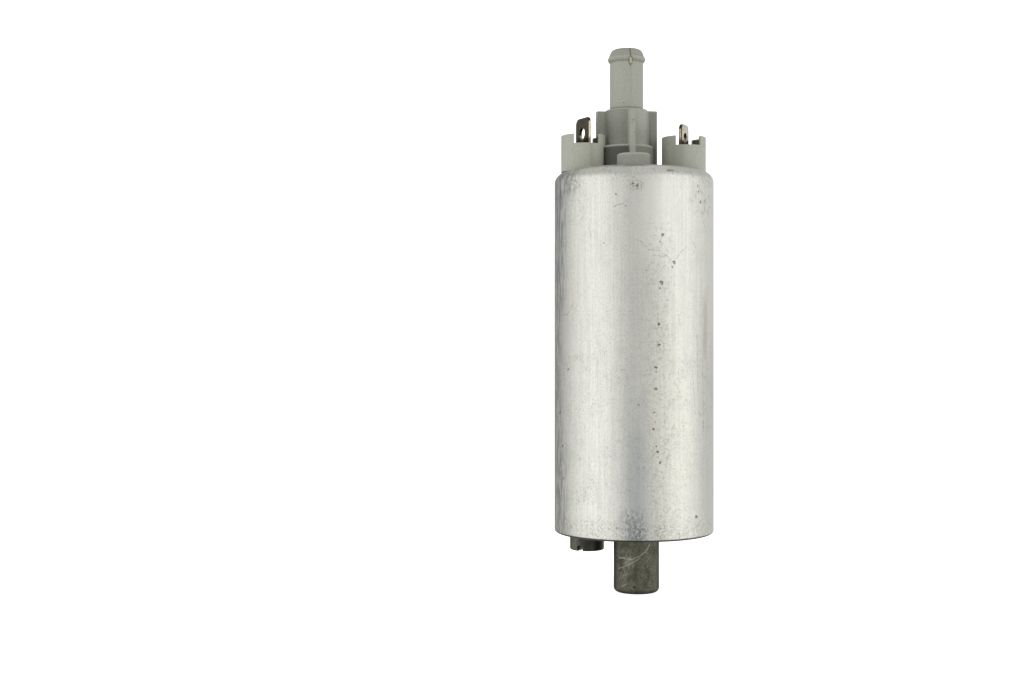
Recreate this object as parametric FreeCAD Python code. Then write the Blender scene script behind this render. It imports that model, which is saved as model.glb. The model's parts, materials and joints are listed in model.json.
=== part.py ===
import FreeCAD
import Part
import math
import os

# Electric fuel pump with a gear-type pumping stage, in millimetres.
# +Z runs along the pump's axis towards the outlet. The origin is on the axis, half way up the can.
# -Y is the side with the small round boss on the outlet cap. -X is the side of the wide terminal.

Vector = FreeCAD.Vector
UP = Vector(0, 0, 1)

# Running and assembly clearances, each measured on the radius or on one face
press_gap = 0.02
slip_gap = 0.05
running_gap = 0.03
spring_flats = 6

# Can: a drawn tube, rolled over at the outlet end and turned in square at the inlet end
can_diameter = 38.0
can_length = 85.8
can_wall = 1.2
rim_roll_radius = 2.6
base_corner_slope = 0.6
base_lip_width = 2.8

can_radius = can_diameter / 2
can_bore_radius = can_radius - can_wall
insert_radius = can_bore_radius - slip_gap
rim_opening_radius = can_radius - rim_roll_radius
base_opening_radius = can_radius - base_lip_width
rim_top_z = can_length / 2
base_z = -can_length / 2

# Stack of inner pieces, counted from both ends of the can
cover_thickness = 9.1
rotor_height = 6.0
plate_thickness = 6.0
cap_skirt_depth = 10.3

cover_low_z = base_z + can_wall
cover_top_z = cover_low_z + cover_thickness
ring_top_z = cover_top_z + rotor_height
plate_top_z = ring_top_z + plate_thickness
cap_shoulder_z = rim_top_z - can_wall
skirt_low_z = cap_shoulder_z - cap_skirt_depth

# Outlet cap: deck, skirt and round seal groove
deck_rise = 0.2
deck_thickness = 3.6
skirt_wall = 2.1
seal_groove_width = 2.2
seal_groove_depth = 1.3
seal_corner = 0.35
cap_seal_depth = 5.8
edge_slope = 0.3

deck_radius = rim_opening_radius - slip_gap
deck_top_z = rim_top_z + deck_rise
deck_low_z = deck_top_z - deck_thickness
cap_seal_z = cap_shoulder_z - cap_seal_depth

# Outlet tower, from the deck up: step ring, ribbed base, hose tube and bead
tower_offset = 1.75
step_ring_diameter = 12.8
step_ring_height = 6.1
tower_base_diameter = 10.1
tower_base_height = 14.8
tube_diameter = 8.0
tube_bore = 5.2
tower_height = 29.3
bead_diameter = 9.0
bead_land = 0.5
bead_back = 0.8
bead_drop = 3.3
tube_tip_diameter = 6.6
tip_round = 0.8
rib_reach = 7.4
rib_root_thickness = 1.9
rib_tip_thickness = 1.3
step_slope = 0.5

tower_x = -tower_offset
step_ring_top_z = deck_top_z + step_ring_height
tower_base_top_z = deck_top_z + tower_base_height
tube_top_z = deck_top_z + tower_height
bead_low_z = tube_top_z - bead_drop

# Small round boss on the deck
boss_diameter = 7.7
boss_height = 2.85
boss_inset = 0.3
boss_x = -2.6

boss_y = boss_diameter / 2 + boss_inset - deck_radius

# Terminal wells and blades
well_inset = 1.45
well_diameter = 10.6
well_wall = 1.15
well_height = 8.55
well_floor_rise = 0.6
notch_width = 5.9
notch_depth = 2.25
blade_thickness = 0.8
blade_tip_chamfer = 1.0
blade_tail_width = 3.0
blade_seat_depth = 1.5
blade_tail_drop = 1.6
positive_blade_width = 6.3
positive_blade_height = 12.8
positive_hole_diameter = 2.3
positive_hole_drop = 3.65
positive_blade_angle = 71.5
negative_blade_width = 4.8
negative_blade_height = 11.7
negative_hole_diameter = 1.6
negative_hole_drop = 3.3
negative_blade_angle = -55.0

well_radius = well_diameter / 2
well_x = can_radius - well_radius - well_inset
well_top_z = deck_top_z + well_height
well_floor_z = deck_top_z + well_floor_rise
blade_seat_z = well_floor_z - blade_seat_depth
blade_tail_z = deck_low_z - blade_tail_drop

# Motor bearings and shaft
shaft_diameter = 4.0
upper_bearing_diameter = 6.8
upper_bearing_length = 4.0
lower_bearing_diameter = 7.2
lower_bearing_length = 5.5
bearing_chamfer = 0.3
upper_hub_rise = 2.0
upper_hub_height = 4.8
hub_wall = 1.4
lower_hub_rise = 2.0

shaft_radius = shaft_diameter / 2
bearing_bore_radius = shaft_radius + running_gap
upper_hub_low_z = skirt_low_z + upper_hub_rise
upper_hub_top_z = upper_hub_low_z + upper_hub_height
lower_hub_top_z = plate_top_z + lower_hub_rise

# Field: steel flux ring, two magnets and the spring clips between them. The split ratio is the
# armature's diameter over the ring's bore.
flux_ring_wall = 1.75
split_ratio = 0.6875
magnet_overhang = 3.0
magnet_half_angle = 68.0
air_gap = 0.6
clip_thickness = 0.6
clip_inset = 2.0
clip_depth = 3.0

flux_ring_bore = insert_radius - flux_ring_wall
core_radius = split_ratio * flux_ring_bore
magnet_outer_radius = flux_ring_bore - slip_gap
magnet_inner_radius = core_radius + air_gap

# Armature
core_space_low = 11.5
core_space_high = 10.0
core_hub_radius = 4.6
core_slots = 8
tooth_width = 2.4
tooth_tip_depth = 1.4
slot_mouth = 1.6
end_turn_height = 4.0
end_turn_inset = 1.2
end_turn_chamfer = 1.2
end_turn_bore = 2.5
commutator_drop = 0.5
segment_height = 1.6
segment_inner_radius = 5.0
segment_outer_radius = 9.4
segment_gap = 0.5
segment_tang_width = 1.4
segment_tang_reach = 0.8
commutator_base_radius = 9.0
commutator_hub_radius = 4.4
commutator_hub_rise = 1.0
spacer_radius = 3.2
thrust_washer_radius = 3.3
thrust_washer_height = 0.6
end_float = 0.15

end_turn_radius = core_radius - end_turn_inset
core_low_z = plate_top_z + core_space_low
core_top_z = skirt_low_z - core_space_high
magnet_low_z = core_low_z - magnet_overhang
magnet_top_z = core_top_z + magnet_overhang
commutator_face_z = skirt_low_z - commutator_drop
segment_low_z = commutator_face_z - segment_height
commutator_hub_top_z = commutator_face_z + commutator_hub_rise

# Brush gear, two alike, turned half a turn about the axis
brush_radius = 7.3
brush_radial = 4.0
brush_tangential = 5.0
brush_length = 7.0
brush_tube_wall = 0.3
brush_tube_inset = 0.4
brush_tube_length = 6.8
brush_block_wall = 1.0
brush_block_rise = 1.2
brush_spring_wire = 0.4
brush_spring_diameter = 3.6
brush_spring_turns = 3.0
spring_roof = 1.0
spring_chamber_radius = 2.1
shunt_diameter = 0.7
shunt_drop = 1.1
shunt_slot_width = 1.2

brush_low_z = commutator_face_z + running_gap
brush_top_z = brush_low_z + brush_length
brush_block_low_z = skirt_low_z + brush_block_rise
brush_tube_low_z = brush_block_low_z + brush_tube_inset
brush_tube_top_z = brush_tube_low_z + brush_tube_length
spring_chamber_top_z = deck_top_z - spring_roof
shunt_z = brush_top_z - shunt_drop
shunt_slot_low_z = shunt_z - shunt_slot_width / 2

# Suppression chokes, one beside each terminal tail, placed by radius and angle
choke_radius = 9.6
choke_angle = 205.0
choke_core_diameter = 3.2
choke_core_length = 7.6
choke_wire = 0.7
choke_coil_height = 5.0
choke_socket_depth = 1.2
choke_socket_wall = 0.8
choke_lead_reach = 1.4

choke_socket_low_z = deck_low_z - choke_socket_depth
choke_core_top_z = deck_low_z - press_gap
choke_core_low_z = choke_core_top_z - choke_core_length
choke_coil_top_z = choke_socket_low_z - slip_gap
choke_coil_low_z = choke_coil_top_z - choke_coil_height
choke_coil_inner = choke_core_diameter / 2 + slip_gap
choke_coil_outer = choke_coil_inner + choke_wire
choke_x = choke_radius * math.cos(math.radians(choke_angle))
choke_y = choke_radius * math.sin(math.radians(choke_angle))

# Outlet check valve
valve_chamber_diameter = 7.6
valve_chamber_top = 11.0
check_seat_height = 2.0
check_seat_bore = 4.4
check_poppet_diameter = 6.4
check_poppet_height = 2.0
check_cone_drop = 0.8
check_spigot_diameter = 4.4
check_spigot_height = 2.0
check_spring_wire = 0.4
check_spring_turns = 3.0

valve_chamber_radius = valve_chamber_diameter / 2
valve_chamber_top_z = deck_top_z + valve_chamber_top
check_seat_top_z = deck_low_z + check_seat_height
check_poppet_low_z = check_seat_top_z + running_gap
check_poppet_top_z = check_poppet_low_z + check_poppet_height

# Gear stage: rotor lobes, eccentric ring and kidney ports. The trochoid ratio is the eccentricity
# times the outer lobes over the lobe circle's radius, and stays under 1 for a curve with no loops.
inner_lobes = 6
outer_lobes = inner_lobes + 1
outer_rotor_diameter = 19.2
rotor_rim = 1.0
lobe_radius = 2.6
trochoid_ratio = 0.73
mesh_gap = 0.03
valley_gap = 0.1
points_per_lobe = 12
kidney_edge = 0.3
kidney_half_angle = 62.0
suction_depth = 3.5
delivery_depth = 1.5
dowel_diameter = 2.5
dowel_depth = 3.0

outer_rotor_radius = outer_rotor_diameter / 2
ring_bore_radius = outer_rotor_radius + running_gap
lobe_circle_radius = outer_rotor_radius - rotor_rim
eccentricity = trochoid_ratio * lobe_circle_radius / outer_lobes
root_radius = lobe_circle_radius - lobe_radius - eccentricity
valley_radius = lobe_circle_radius - lobe_radius + 2 * eccentricity + valley_gap
kidney_inner_radius = root_radius + kidney_edge
kidney_outer_radius = valley_radius
kidney_middle = (kidney_inner_radius + kidney_outer_radius) / 2
kidney_end_radius = (kidney_outer_radius - kidney_inner_radius) / 2
dowel_radius = (ring_bore_radius + insert_radius) / 2

# Drive coupling between the shaft's flats and the inner rotor
coupling_edge = 0.45
coupling_clearance = 0.25
coupling_height = 1.9
coupling_recess = 2.3
coupling_pins = 4
coupling_pin_diameter = 1.4
coupling_pin_length = 3.0
shaft_flat = 1.6
shaft_end_gap = 0.5

coupling_pin_radius = (shaft_radius + root_radius) / 2
coupling_radius = coupling_pin_radius + coupling_pin_diameter / 2 + coupling_edge

coupling_low_z = ring_top_z + slip_gap
coupling_top_z = coupling_low_z + coupling_height

# Inlet cover: die casting with the inlet spigot
cover_recess = 0.2
cover_seal_depth = 4.5
spigot_y = -3.0
spigot_diameter = 10.8
spigot_length = 13.75
spigot_bore = 8.0
spigot_round = 1.1
spigot_bore_chamfer = 0.4
inlet_roof = 2.5

cover_face_z = base_z + cover_recess
spigot_low_z = base_z - spigot_length
cover_seal_z = cover_top_z - cover_seal_depth

# Relief valve in the inlet cover, closed by a slotted cap, placed by its angle and its gap to the can's lip
relief_angle = 159.3
relief_inset = 0.7
relief_passage = 2.0
relief_seat_diameter = 5.0
relief_seat_height = 1.4
relief_seat_depth = 3.5
relief_ball_diameter = 4.0
relief_cap_diameter = 8.25
relief_cap_height = 4.8
relief_shank_diameter = 6.4
relief_shank_length = 3.3
relief_cap_bore = 4.6
relief_cap_floor = 2.6
relief_vent = 1.6
relief_slot_width = 1.45
relief_slot_depth = 1.3
relief_slot_angle = 27.0
relief_spring_wire = 0.4
relief_spring_diameter = 3.2
relief_spring_turns = 3.0

relief_radius = base_opening_radius - relief_cap_diameter / 2 - relief_inset
relief_x = relief_radius * math.cos(math.radians(relief_angle))
relief_y = relief_radius * math.sin(math.radians(relief_angle))
relief_seat_z = cover_top_z - relief_seat_depth
relief_shank_top_z = cover_face_z + relief_shank_length
relief_cap_low_z = cover_face_z - relief_cap_height
relief_floor_z = relief_cap_low_z + relief_cap_floor


# Drawing helpers

def box(size_x, size_y, z_low, z_high, x=0.0, y=0.0):
    """An upright block centred on x, y."""
    corner = Vector(x - size_x / 2, y - size_y / 2, z_low)
    return Part.makeBox(size_x, size_y, z_high - z_low, corner)


def cylinder(radius, z_low, z_high, x=0.0, y=0.0):
    return Part.makeCylinder(radius, z_high - z_low, Vector(x, y, z_low))


def tube(outer, inner, z_low, z_high, x=0.0, y=0.0):
    return cylinder(outer, z_low, z_high, x, y).cut(cylinder(inner, z_low, z_high, x, y))


def rod(start, end, radius):
    """A round bar between two points."""
    along = end - start
    return Part.makeCylinder(radius, along.Length, start, along)


def turn(shape, degrees, x=0.0, y=0.0):
    """A copy turned about the vertical line through x, y."""
    turned_copy = shape.copy()
    turned_copy.rotate(Vector(x, y, 0), UP, degrees)
    return turned_copy


def move(shape, x=0.0, y=0.0, z=0.0):
    moved_copy = shape.copy()
    moved_copy.translate(Vector(x, y, z))
    return moved_copy


def fused(shapes):
    """One clean solid from several overlapping ones."""
    shapes = list(shapes)
    return shapes[0].multiFuse(shapes[1:]).removeSplitter()


def bend(centre, radius, start, end):
    """An arc step for outline: about centre, from one angle to the other, in degrees."""
    angles = [math.radians((start + end) / 2), math.radians(end)]
    return [(centre[0] + radius * math.cos(a), centre[1] + radius * math.sin(a)) for a in angles]


def outline(start, steps, plane):
    """A closed face. Each step is a point, or the two points that bend gives."""
    edges = []
    here = start
    for step in steps + [start]:
        if isinstance(step, list):
            edges.append(Part.Arc(plane(*here), plane(*step[0]), plane(*step[1])).toShape())
            here = step[1]
        elif math.dist(here, step) > 1e-7:
            edges.append(Part.LineSegment(plane(*here), plane(*step)).toShape())
            here = step
    return Part.Face(Part.Wire(edges))


def turned(start, *steps, x=0.0, y=0.0):
    """A solid of revolution about the vertical line through x, y, from radius and height."""
    face = outline(start, list(steps), lambda r, z: Vector(r, 0, z))
    return move(face.revolve(Vector(0, 0, 0), UP, 360), x, y)


def raised(start, *steps, z_low, z_high):
    """A flat outline in x and y, raised into a solid."""
    face = outline(start, list(steps), lambda x, y: Vector(x, y, z_low))
    return face.extrude(Vector(0, 0, z_high - z_low))


def sector(outer, inner, half_angle, z_low, z_high, facing=0.0):
    """Part of a ring, centred on the direction that it faces."""
    def at(radius, degrees):
        a = math.radians(degrees)
        return (radius * math.cos(a), radius * math.sin(a))

    low, high = facing - half_angle, facing + half_angle
    return raised(
        at(outer, low), [at(outer, facing), at(outer, high)],
        at(inner, high), [at(inner, facing), at(inner, low)],
        z_low=z_low, z_high=z_high,
    )


def kidney(z_low, z_high, facing):
    """The round-ended slot of a port, about the middle between both rotors."""
    slot = [sector(kidney_outer_radius, kidney_inner_radius, kidney_half_angle, z_low, z_high, facing)]
    for side in (-1, 1):
        a = math.radians(facing + side * kidney_half_angle)
        slot.append(cylinder(kidney_end_radius, z_low, z_high, kidney_middle * math.cos(a),
                             kidney_middle * math.sin(a)))
    return move(fused(slot), eccentricity / 2)


def spring(wire, diameter, turns, z_low, z_high, x=0.0, y=0.0):
    """A coil spring that just fills the height given. Its round wire is drawn with flats."""
    coil_radius = (diameter - wire) / 2
    height = z_high - z_low - wire
    helix = Part.makeHelix(height / turns, height, coil_radius)
    corners = []
    for n in range(spring_flats + 1):
        a = 2 * math.pi * (n + 0.5) / spring_flats
        corners.append(Vector(coil_radius + wire / 2 * math.cos(a), 0, wire / 2 * math.sin(a)))
    coil = Part.Wire(helix).makePipeShell([Part.makePolygon(corners)], True, True)
    return move(coil, x, y, z_low + wire / 2)


def seal_ring(z_middle):
    """A soft seal pressed flat between its groove and the can, which leaves it with sloped corners."""
    inner = insert_radius - seal_groove_depth + press_gap
    outer = can_bore_radius - press_gap
    half = seal_groove_width / 2 - slip_gap
    flat = half - seal_corner
    return turned(
        (inner + seal_corner, z_middle - half), (outer - seal_corner, z_middle - half),
        (outer, z_middle - flat), (outer, z_middle + flat),
        (outer - seal_corner, z_middle + half), (inner + seal_corner, z_middle + half),
        (inner, z_middle + flat), (inner, z_middle - flat),
    )


def seal_groove(z_middle):
    half = seal_groove_width / 2
    return tube(insert_radius + can_wall, insert_radius - seal_groove_depth, z_middle - half, z_middle + half)


# Housing

def can():
    """The rolled shell. Its outlet rim is a quarter roll, and its inlet lip lies flat."""
    roll_z = rim_top_z - rim_roll_radius
    return turned(
        (base_opening_radius, base_z),
        (can_radius - base_corner_slope, base_z),
        (can_radius, base_z + base_corner_slope),
        (can_radius, roll_z),
        bend((rim_opening_radius, roll_z), rim_roll_radius, 0, 90),
        (rim_opening_radius, rim_top_z - can_wall),
        (can_bore_radius, roll_z),
        (can_bore_radius, cover_low_z),
        (base_opening_radius, cover_low_z),
    )


def cap_plug():
    """Skirt and deck of the outlet cap, sloped to seat under the rolled rim."""
    roll_z = rim_top_z - rim_roll_radius
    reach = insert_radius - rim_opening_radius
    skirt_bore = insert_radius - skirt_wall
    return turned(
        (skirt_bore, skirt_low_z),
        (insert_radius, skirt_low_z),
        (insert_radius, roll_z),
        (rim_opening_radius, roll_z + reach),
        (deck_radius, roll_z + reach),
        (deck_radius, deck_top_z - edge_slope),
        (deck_radius - edge_slope, deck_top_z),
        (0, deck_top_z),
        (0, deck_low_z),
        (skirt_bore, deck_low_z),
    )


def terminal_well(side):
    """A round well open at the top, with a straight notch from front to back."""
    x = side * well_x
    low_z = rim_top_z + slip_gap
    well = cylinder(well_radius, low_z, well_top_z, x)
    notch = box(notch_width, 2 * well_diameter, well_top_z - notch_depth, well_top_z, x)
    return well.cut(notch).cut(cylinder(well_radius - well_wall, well_floor_z, well_top_z, x))


def tower_body():
    """Step ring, base, hose tube and bead, turned about the tower's own axis."""
    base_radius = tower_base_diameter / 2
    ring_radius = step_ring_diameter / 2
    tube_radius = tube_diameter / 2
    bead_radius = bead_diameter / 2
    tip_radius = tube_tip_diameter / 2
    bead_top_z = bead_low_z + bead_back + bead_land
    return turned(
        (0, deck_low_z),
        (valve_chamber_radius + edge_slope, deck_low_z),
        (ring_radius, deck_top_z - edge_slope),
        (ring_radius, step_ring_top_z - step_slope),
        (ring_radius - step_slope, step_ring_top_z),
        (base_radius, step_ring_top_z),
        (base_radius, tower_base_top_z - edge_slope),
        (base_radius - edge_slope, tower_base_top_z),
        (tube_radius, tower_base_top_z),
        (tube_radius, bead_low_z),
        (bead_radius, bead_low_z + bead_back),
        (bead_radius, bead_top_z),
        (tip_radius + tip_round, tube_top_z - tip_round),
        bend((tip_radius, tube_top_z - tip_round), tip_round, 0, 90),
        (0, tube_top_z),
        x=tower_x,
    )


def tower_rib(facing):
    """One upright rib of the tower base, thinner at its tip, with its top corner sloped off."""
    root, tip = rib_root_thickness / 2, rib_tip_thickness / 2
    low_z = deck_top_z - edge_slope
    plan = raised((0, -root), (rib_reach, -tip), (rib_reach, tip), (0, root),
                  z_low=low_z, z_high=tower_base_top_z)
    side = outline(
        (0, low_z),
        [(rib_reach, low_z), (rib_reach, tower_base_top_z - edge_slope),
         (rib_reach - edge_slope, tower_base_top_z), (0, tower_base_top_z)],
        lambda r, z: Vector(r, -root, z),
    )
    rib = plan.common(side.extrude(Vector(0, 2 * root, 0)))
    return turn(move(rib, tower_x), facing, tower_x)


def round_boss():
    """The plain boss on the deck."""
    radius = boss_diameter / 2
    top_z = deck_top_z + boss_height
    return turned(
        (0, deck_top_z - edge_slope), (radius, deck_top_z - edge_slope), (radius, top_z - step_slope),
        (radius - step_slope, top_z), (0, top_z),
        x=boss_x, y=boss_y,
    )


def brush_block():
    """Front block that hangs from the deck and holds one brush tube."""
    wall = 2 * (brush_tube_wall + press_gap + brush_block_wall)
    return box(brush_tangential + wall, brush_radial + wall, brush_block_low_z, deck_low_z + edge_slope,
               0, -brush_radius)


def brush_hollow():
    """Room in the front block for the brush tube, its spring and the shunt's way out."""
    wall = 2 * (brush_tube_wall + running_gap + press_gap)
    pocket = box(brush_tangential + wall, brush_radial + wall, brush_block_low_z, brush_tube_top_z,
                 0, -brush_radius)
    chamber = cylinder(spring_chamber_radius, brush_tube_top_z, spring_chamber_top_z, 0, -brush_radius)
    way_out = box(brush_tangential, shunt_slot_width, shunt_slot_low_z, brush_tube_top_z,
                  -brush_tangential, -brush_radius)
    return fused([pocket, chamber, way_out])


def choke_socket():
    """Ring under the deck that holds the top of the left choke's core."""
    radius = choke_core_diameter / 2
    return tube(radius + choke_socket_wall, radius + press_gap, choke_socket_low_z, deck_low_z + edge_slope,
                choke_x, choke_y)


def blade_outline(width, height, hole, hole_drop, gap):
    """A terminal blade in its own plane, standing on the centre of its well."""
    half = width / 2 + gap
    tail = blade_tail_width / 2 + gap
    tip_z = deck_top_z + height
    cut = blade_tip_chamfer
    low_z = blade_tail_z - gap
    face = outline(
        (-tail, low_z),
        [(tail, low_z), (tail, blade_seat_z - gap), (half, blade_seat_z - gap), (half, tip_z - cut),
         (half - cut, tip_z), (cut - half, tip_z), (-half, tip_z - cut), (-half, blade_seat_z - gap),
         (-tail, blade_seat_z - gap)],
        lambda x, z: Vector(x, -blade_thickness / 2 - gap, z),
    )
    blade = face.extrude(Vector(0, blade_thickness + 2 * gap, 0))
    through = Part.makeCylinder(
        hole / 2, 2 * width, Vector(0, -width, tip_z - hole_drop), Vector(0, 1, 0))
    return blade.cut(through)


def positive_blade(gap=0.0):
    blade = blade_outline(positive_blade_width, positive_blade_height, positive_hole_diameter,
                          positive_hole_drop, gap)
    return move(turn(blade, -positive_blade_angle), -well_x)


def negative_blade(gap=0.0):
    blade = blade_outline(negative_blade_width, negative_blade_height, negative_hole_diameter,
                          negative_hole_drop, gap)
    return move(turn(blade, -negative_blade_angle), well_x)


def outlet_cap():
    """The moulded cap: plug, tower, wells, boss and the hidden brush blocks and bearing hub."""
    hub_radius = upper_bearing_diameter / 2 + hub_wall
    solids = [cap_plug(), tower_body(), round_boss(), terminal_well(-1), terminal_well(1)]
    solids += [tower_rib(facing) for facing in (0, 90, 180, 270)]
    solids += [turn(brush_block(), half_turn) for half_turn in (0, 180)]
    solids += [turn(choke_socket(), half_turn) for half_turn in (0, 180)]
    solids.append(cylinder(hub_radius, upper_hub_low_z, upper_hub_top_z))
    cap = fused(solids)
    bearing_seat = cylinder(upper_bearing_diameter / 2 + press_gap, upper_hub_low_z,
                            upper_hub_low_z + upper_bearing_length + slip_gap)
    hollows = [turn(brush_hollow(), half_turn) for half_turn in (0, 180)]
    hollows += [
        bearing_seat,
        seal_groove(cap_seal_z),
        cylinder(valve_chamber_radius, deck_low_z, valve_chamber_top_z, tower_x),
        cylinder(tube_bore / 2, valve_chamber_top_z, tube_top_z, tower_x),
        positive_blade(press_gap),
        negative_blade(press_gap),
    ]
    for hollow in hollows:
        cap = cap.cut(hollow)
    return cap.removeSplitter()


def relief_hole(radius, z_high):
    """A hole from the cover's face up along the relief valve's axis."""
    return cylinder(radius, cover_face_z, z_high, relief_x, relief_y)


def relief_groove():
    """Shallow groove in the cover's top, from the end of the delivery port to the relief valve."""
    a = math.radians(90 + kidney_half_angle)
    port_end = Vector(eccentricity / 2 + kidney_middle * math.cos(a), kidney_middle * math.sin(a), 0)
    along = Vector(relief_x, relief_y, 0) - port_end
    groove = box(along.Length, relief_passage, cover_top_z - delivery_depth, cover_top_z, along.Length / 2)
    return move(turn(groove, math.degrees(math.atan2(along.y, along.x))), port_end.x, port_end.y)


def inlet_cover():
    """The casting that closes the can: plug, face, inlet spigot and suction port."""
    face_radius = base_opening_radius - slip_gap
    spigot_radius = spigot_diameter / 2
    bore_radius = spigot_bore / 2
    plug = turned(
        (0, cover_face_z), (face_radius - edge_slope, cover_face_z),
        (face_radius, cover_face_z + edge_slope), (face_radius, cover_low_z),
        (insert_radius, cover_low_z), (insert_radius, cover_top_z), (0, cover_top_z),
    )
    spigot = turned(
        (0, spigot_low_z), (spigot_radius - spigot_round, spigot_low_z),
        bend((spigot_radius - spigot_round, spigot_low_z + spigot_round), spigot_round, -90, 0),
        (spigot_radius, cover_low_z), (0, cover_low_z),
        y=spigot_y,
    )
    bore = turned(
        (0, spigot_low_z), (bore_radius + spigot_bore_chamfer, spigot_low_z),
        (bore_radius, spigot_low_z + spigot_bore_chamfer), (bore_radius, cover_top_z - inlet_roof),
        (0, cover_top_z - inlet_roof),
        y=spigot_y,
    )
    cover = fused([plug, spigot])
    hollows = [
        bore,
        kidney(cover_top_z - suction_depth, cover_top_z, 270),
        kidney(cover_top_z - delivery_depth, cover_top_z, 90),
        relief_groove(),
        seal_groove(cover_seal_z),
        relief_hole(relief_shank_diameter / 2 + press_gap, relief_shank_top_z + slip_gap),
        relief_hole(relief_seat_diameter / 2 + press_gap, relief_seat_z + relief_seat_height),
        relief_hole(relief_passage / 2, cover_top_z),
    ]
    hollows += dowel_holes(cover_top_z - dowel_depth, cover_top_z)
    for hollow in hollows:
        cover = cover.cut(hollow)
    return cover.removeSplitter()


# Seals and dowels

def cap_seal():
    return seal_ring(cap_seal_z)


def cover_seal():
    return seal_ring(cover_seal_z)


def dowel_holes(z_low, z_high):
    radius = dowel_diameter / 2 + press_gap
    return [cylinder(radius, z_low, z_high, 0, side * dowel_radius) for side in (-1, 1)]


def stage_dowel(side):
    return cylinder(dowel_diameter / 2, cover_top_z - dowel_depth + press_gap,
                    ring_top_z + dowel_depth - press_gap, 0, side * dowel_radius)


# Relief valve

def relief_seat():
    """Ring with a sharp lower edge that the ball closes."""
    radius = relief_seat_diameter / 2
    top_z = relief_seat_z + relief_seat_height - press_gap
    return tube(radius, relief_passage / 2, relief_seat_z, top_z, relief_x, relief_y)


def relief_ball_z():
    """Height of the ball's centre when it rests in the seat's edge."""
    radius = relief_ball_diameter / 2
    return relief_seat_z - running_gap - math.sqrt(radius ** 2 - (relief_passage / 2) ** 2)


def relief_ball():
    return Part.makeSphere(relief_ball_diameter / 2, Vector(relief_x, relief_y, relief_ball_z()))


def relief_spring():
    """Coil between the cap's floor and the underside of the ball."""
    coil_radius = (relief_spring_diameter - relief_spring_wire) / 2
    contact = relief_ball_diameter / 2 + relief_spring_wire / 2 + running_gap
    top_z = relief_ball_z() - math.sqrt(contact ** 2 - coil_radius ** 2) + relief_spring_wire / 2
    return spring(relief_spring_wire, relief_spring_diameter, relief_spring_turns,
                  relief_floor_z + press_gap, top_z, relief_x, relief_y)


def relief_cap():
    """The slotted plug that shows below the can, with a hollow shank and a vent."""
    head_radius = relief_cap_diameter / 2
    shank_radius = relief_shank_diameter / 2
    bore_radius = relief_cap_bore / 2
    plug = turned(
        (relief_vent / 2, relief_cap_low_z),
        (head_radius - step_slope, relief_cap_low_z),
        (head_radius, relief_cap_low_z + step_slope),
        (head_radius, cover_face_z), (shank_radius, cover_face_z), (shank_radius, relief_shank_top_z),
        (bore_radius, relief_shank_top_z), (bore_radius, relief_floor_z), (relief_vent / 2, relief_floor_z),
        x=relief_x, y=relief_y,
    )
    slot = box(relief_slot_width, 2 * relief_cap_diameter, relief_cap_low_z,
               relief_cap_low_z + relief_slot_depth, relief_x, relief_y)
    return plug.cut(turn(slot, -relief_slot_angle, relief_x, relief_y))


# Gear stage

def inner_lobe_curve():
    """One lobe, from valley to valley. It rolls on the outer rotor's lobes, held off by the mesh gap."""
    offset = lobe_radius + mesh_gap
    steepness = lobe_circle_radius / (eccentricity * outer_lobes)
    points = []
    for n in range(points_per_lobe + 1):
        t = 2 * math.pi * n / (inner_lobes * points_per_lobe)
        lean = math.atan2(-math.sin(inner_lobes * t), steepness - math.cos(inner_lobes * t))
        centre = Vector(-math.cos(t), math.sin(t), 0) * lobe_circle_radius
        swing = Vector(math.cos(outer_lobes * t), -math.sin(outer_lobes * t), 0) * eccentricity
        contact = Vector(math.cos(t + lean), -math.sin(t + lean), 0) * offset
        points.append(centre + swing + contact + UP * (cover_top_z + running_gap))
    curve = Part.BSplineCurve()
    curve.interpolate(Points=points, InitialTangent=UP.cross(points[0]).negative(),
                      FinalTangent=UP.cross(points[-1]).negative())
    return curve.toShape()


def inner_rotor():
    """Lobed gear on the motor's axis, with a bore and blind holes for the coupling's pins."""
    lobes = [turn(inner_lobe_curve(), -360 * n / inner_lobes) for n in range(inner_lobes)]
    face = Part.Face(Part.Wire([edge for lobe in lobes for edge in lobe.Edges]))
    rotor = face.extrude(Vector(0, 0, rotor_height - 2 * running_gap))
    rotor = rotor.cut(cylinder(bearing_bore_radius, cover_top_z, ring_top_z))
    hole_low_z = coupling_low_z - coupling_pin_length - slip_gap
    for n in range(coupling_pins):
        hole = cylinder(coupling_pin_diameter / 2 + slip_gap, hole_low_z, ring_top_z, coupling_pin_radius)
        rotor = rotor.cut(turn(hole, 360 * n / coupling_pins))
    return rotor


def outer_rotor():
    """Ring with one round lobe more, on an axis set off towards +X. One lobe is in full mesh at -X."""
    z_low, z_high = cover_top_z + running_gap, ring_top_z - running_gap
    lobes = [turn(cylinder(lobe_radius, z_low, z_high, -lobe_circle_radius), 360 * n / outer_lobes)
             for n in range(outer_lobes)]
    ring = tube(outer_rotor_radius, valley_radius, z_low, z_high)
    rotor = fused([ring] + lobes).common(cylinder(outer_rotor_radius, z_low, z_high))
    return move(rotor, eccentricity)


def pump_ring():
    """Steel ring with the off-centre bore that the outer rotor turns in."""
    ring = cylinder(insert_radius, cover_top_z, ring_top_z)
    ring = ring.cut(cylinder(ring_bore_radius, cover_top_z, ring_top_z, eccentricity))
    for hole in dowel_holes(cover_top_z, ring_top_z):
        ring = ring.cut(hole)
    return ring


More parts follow.
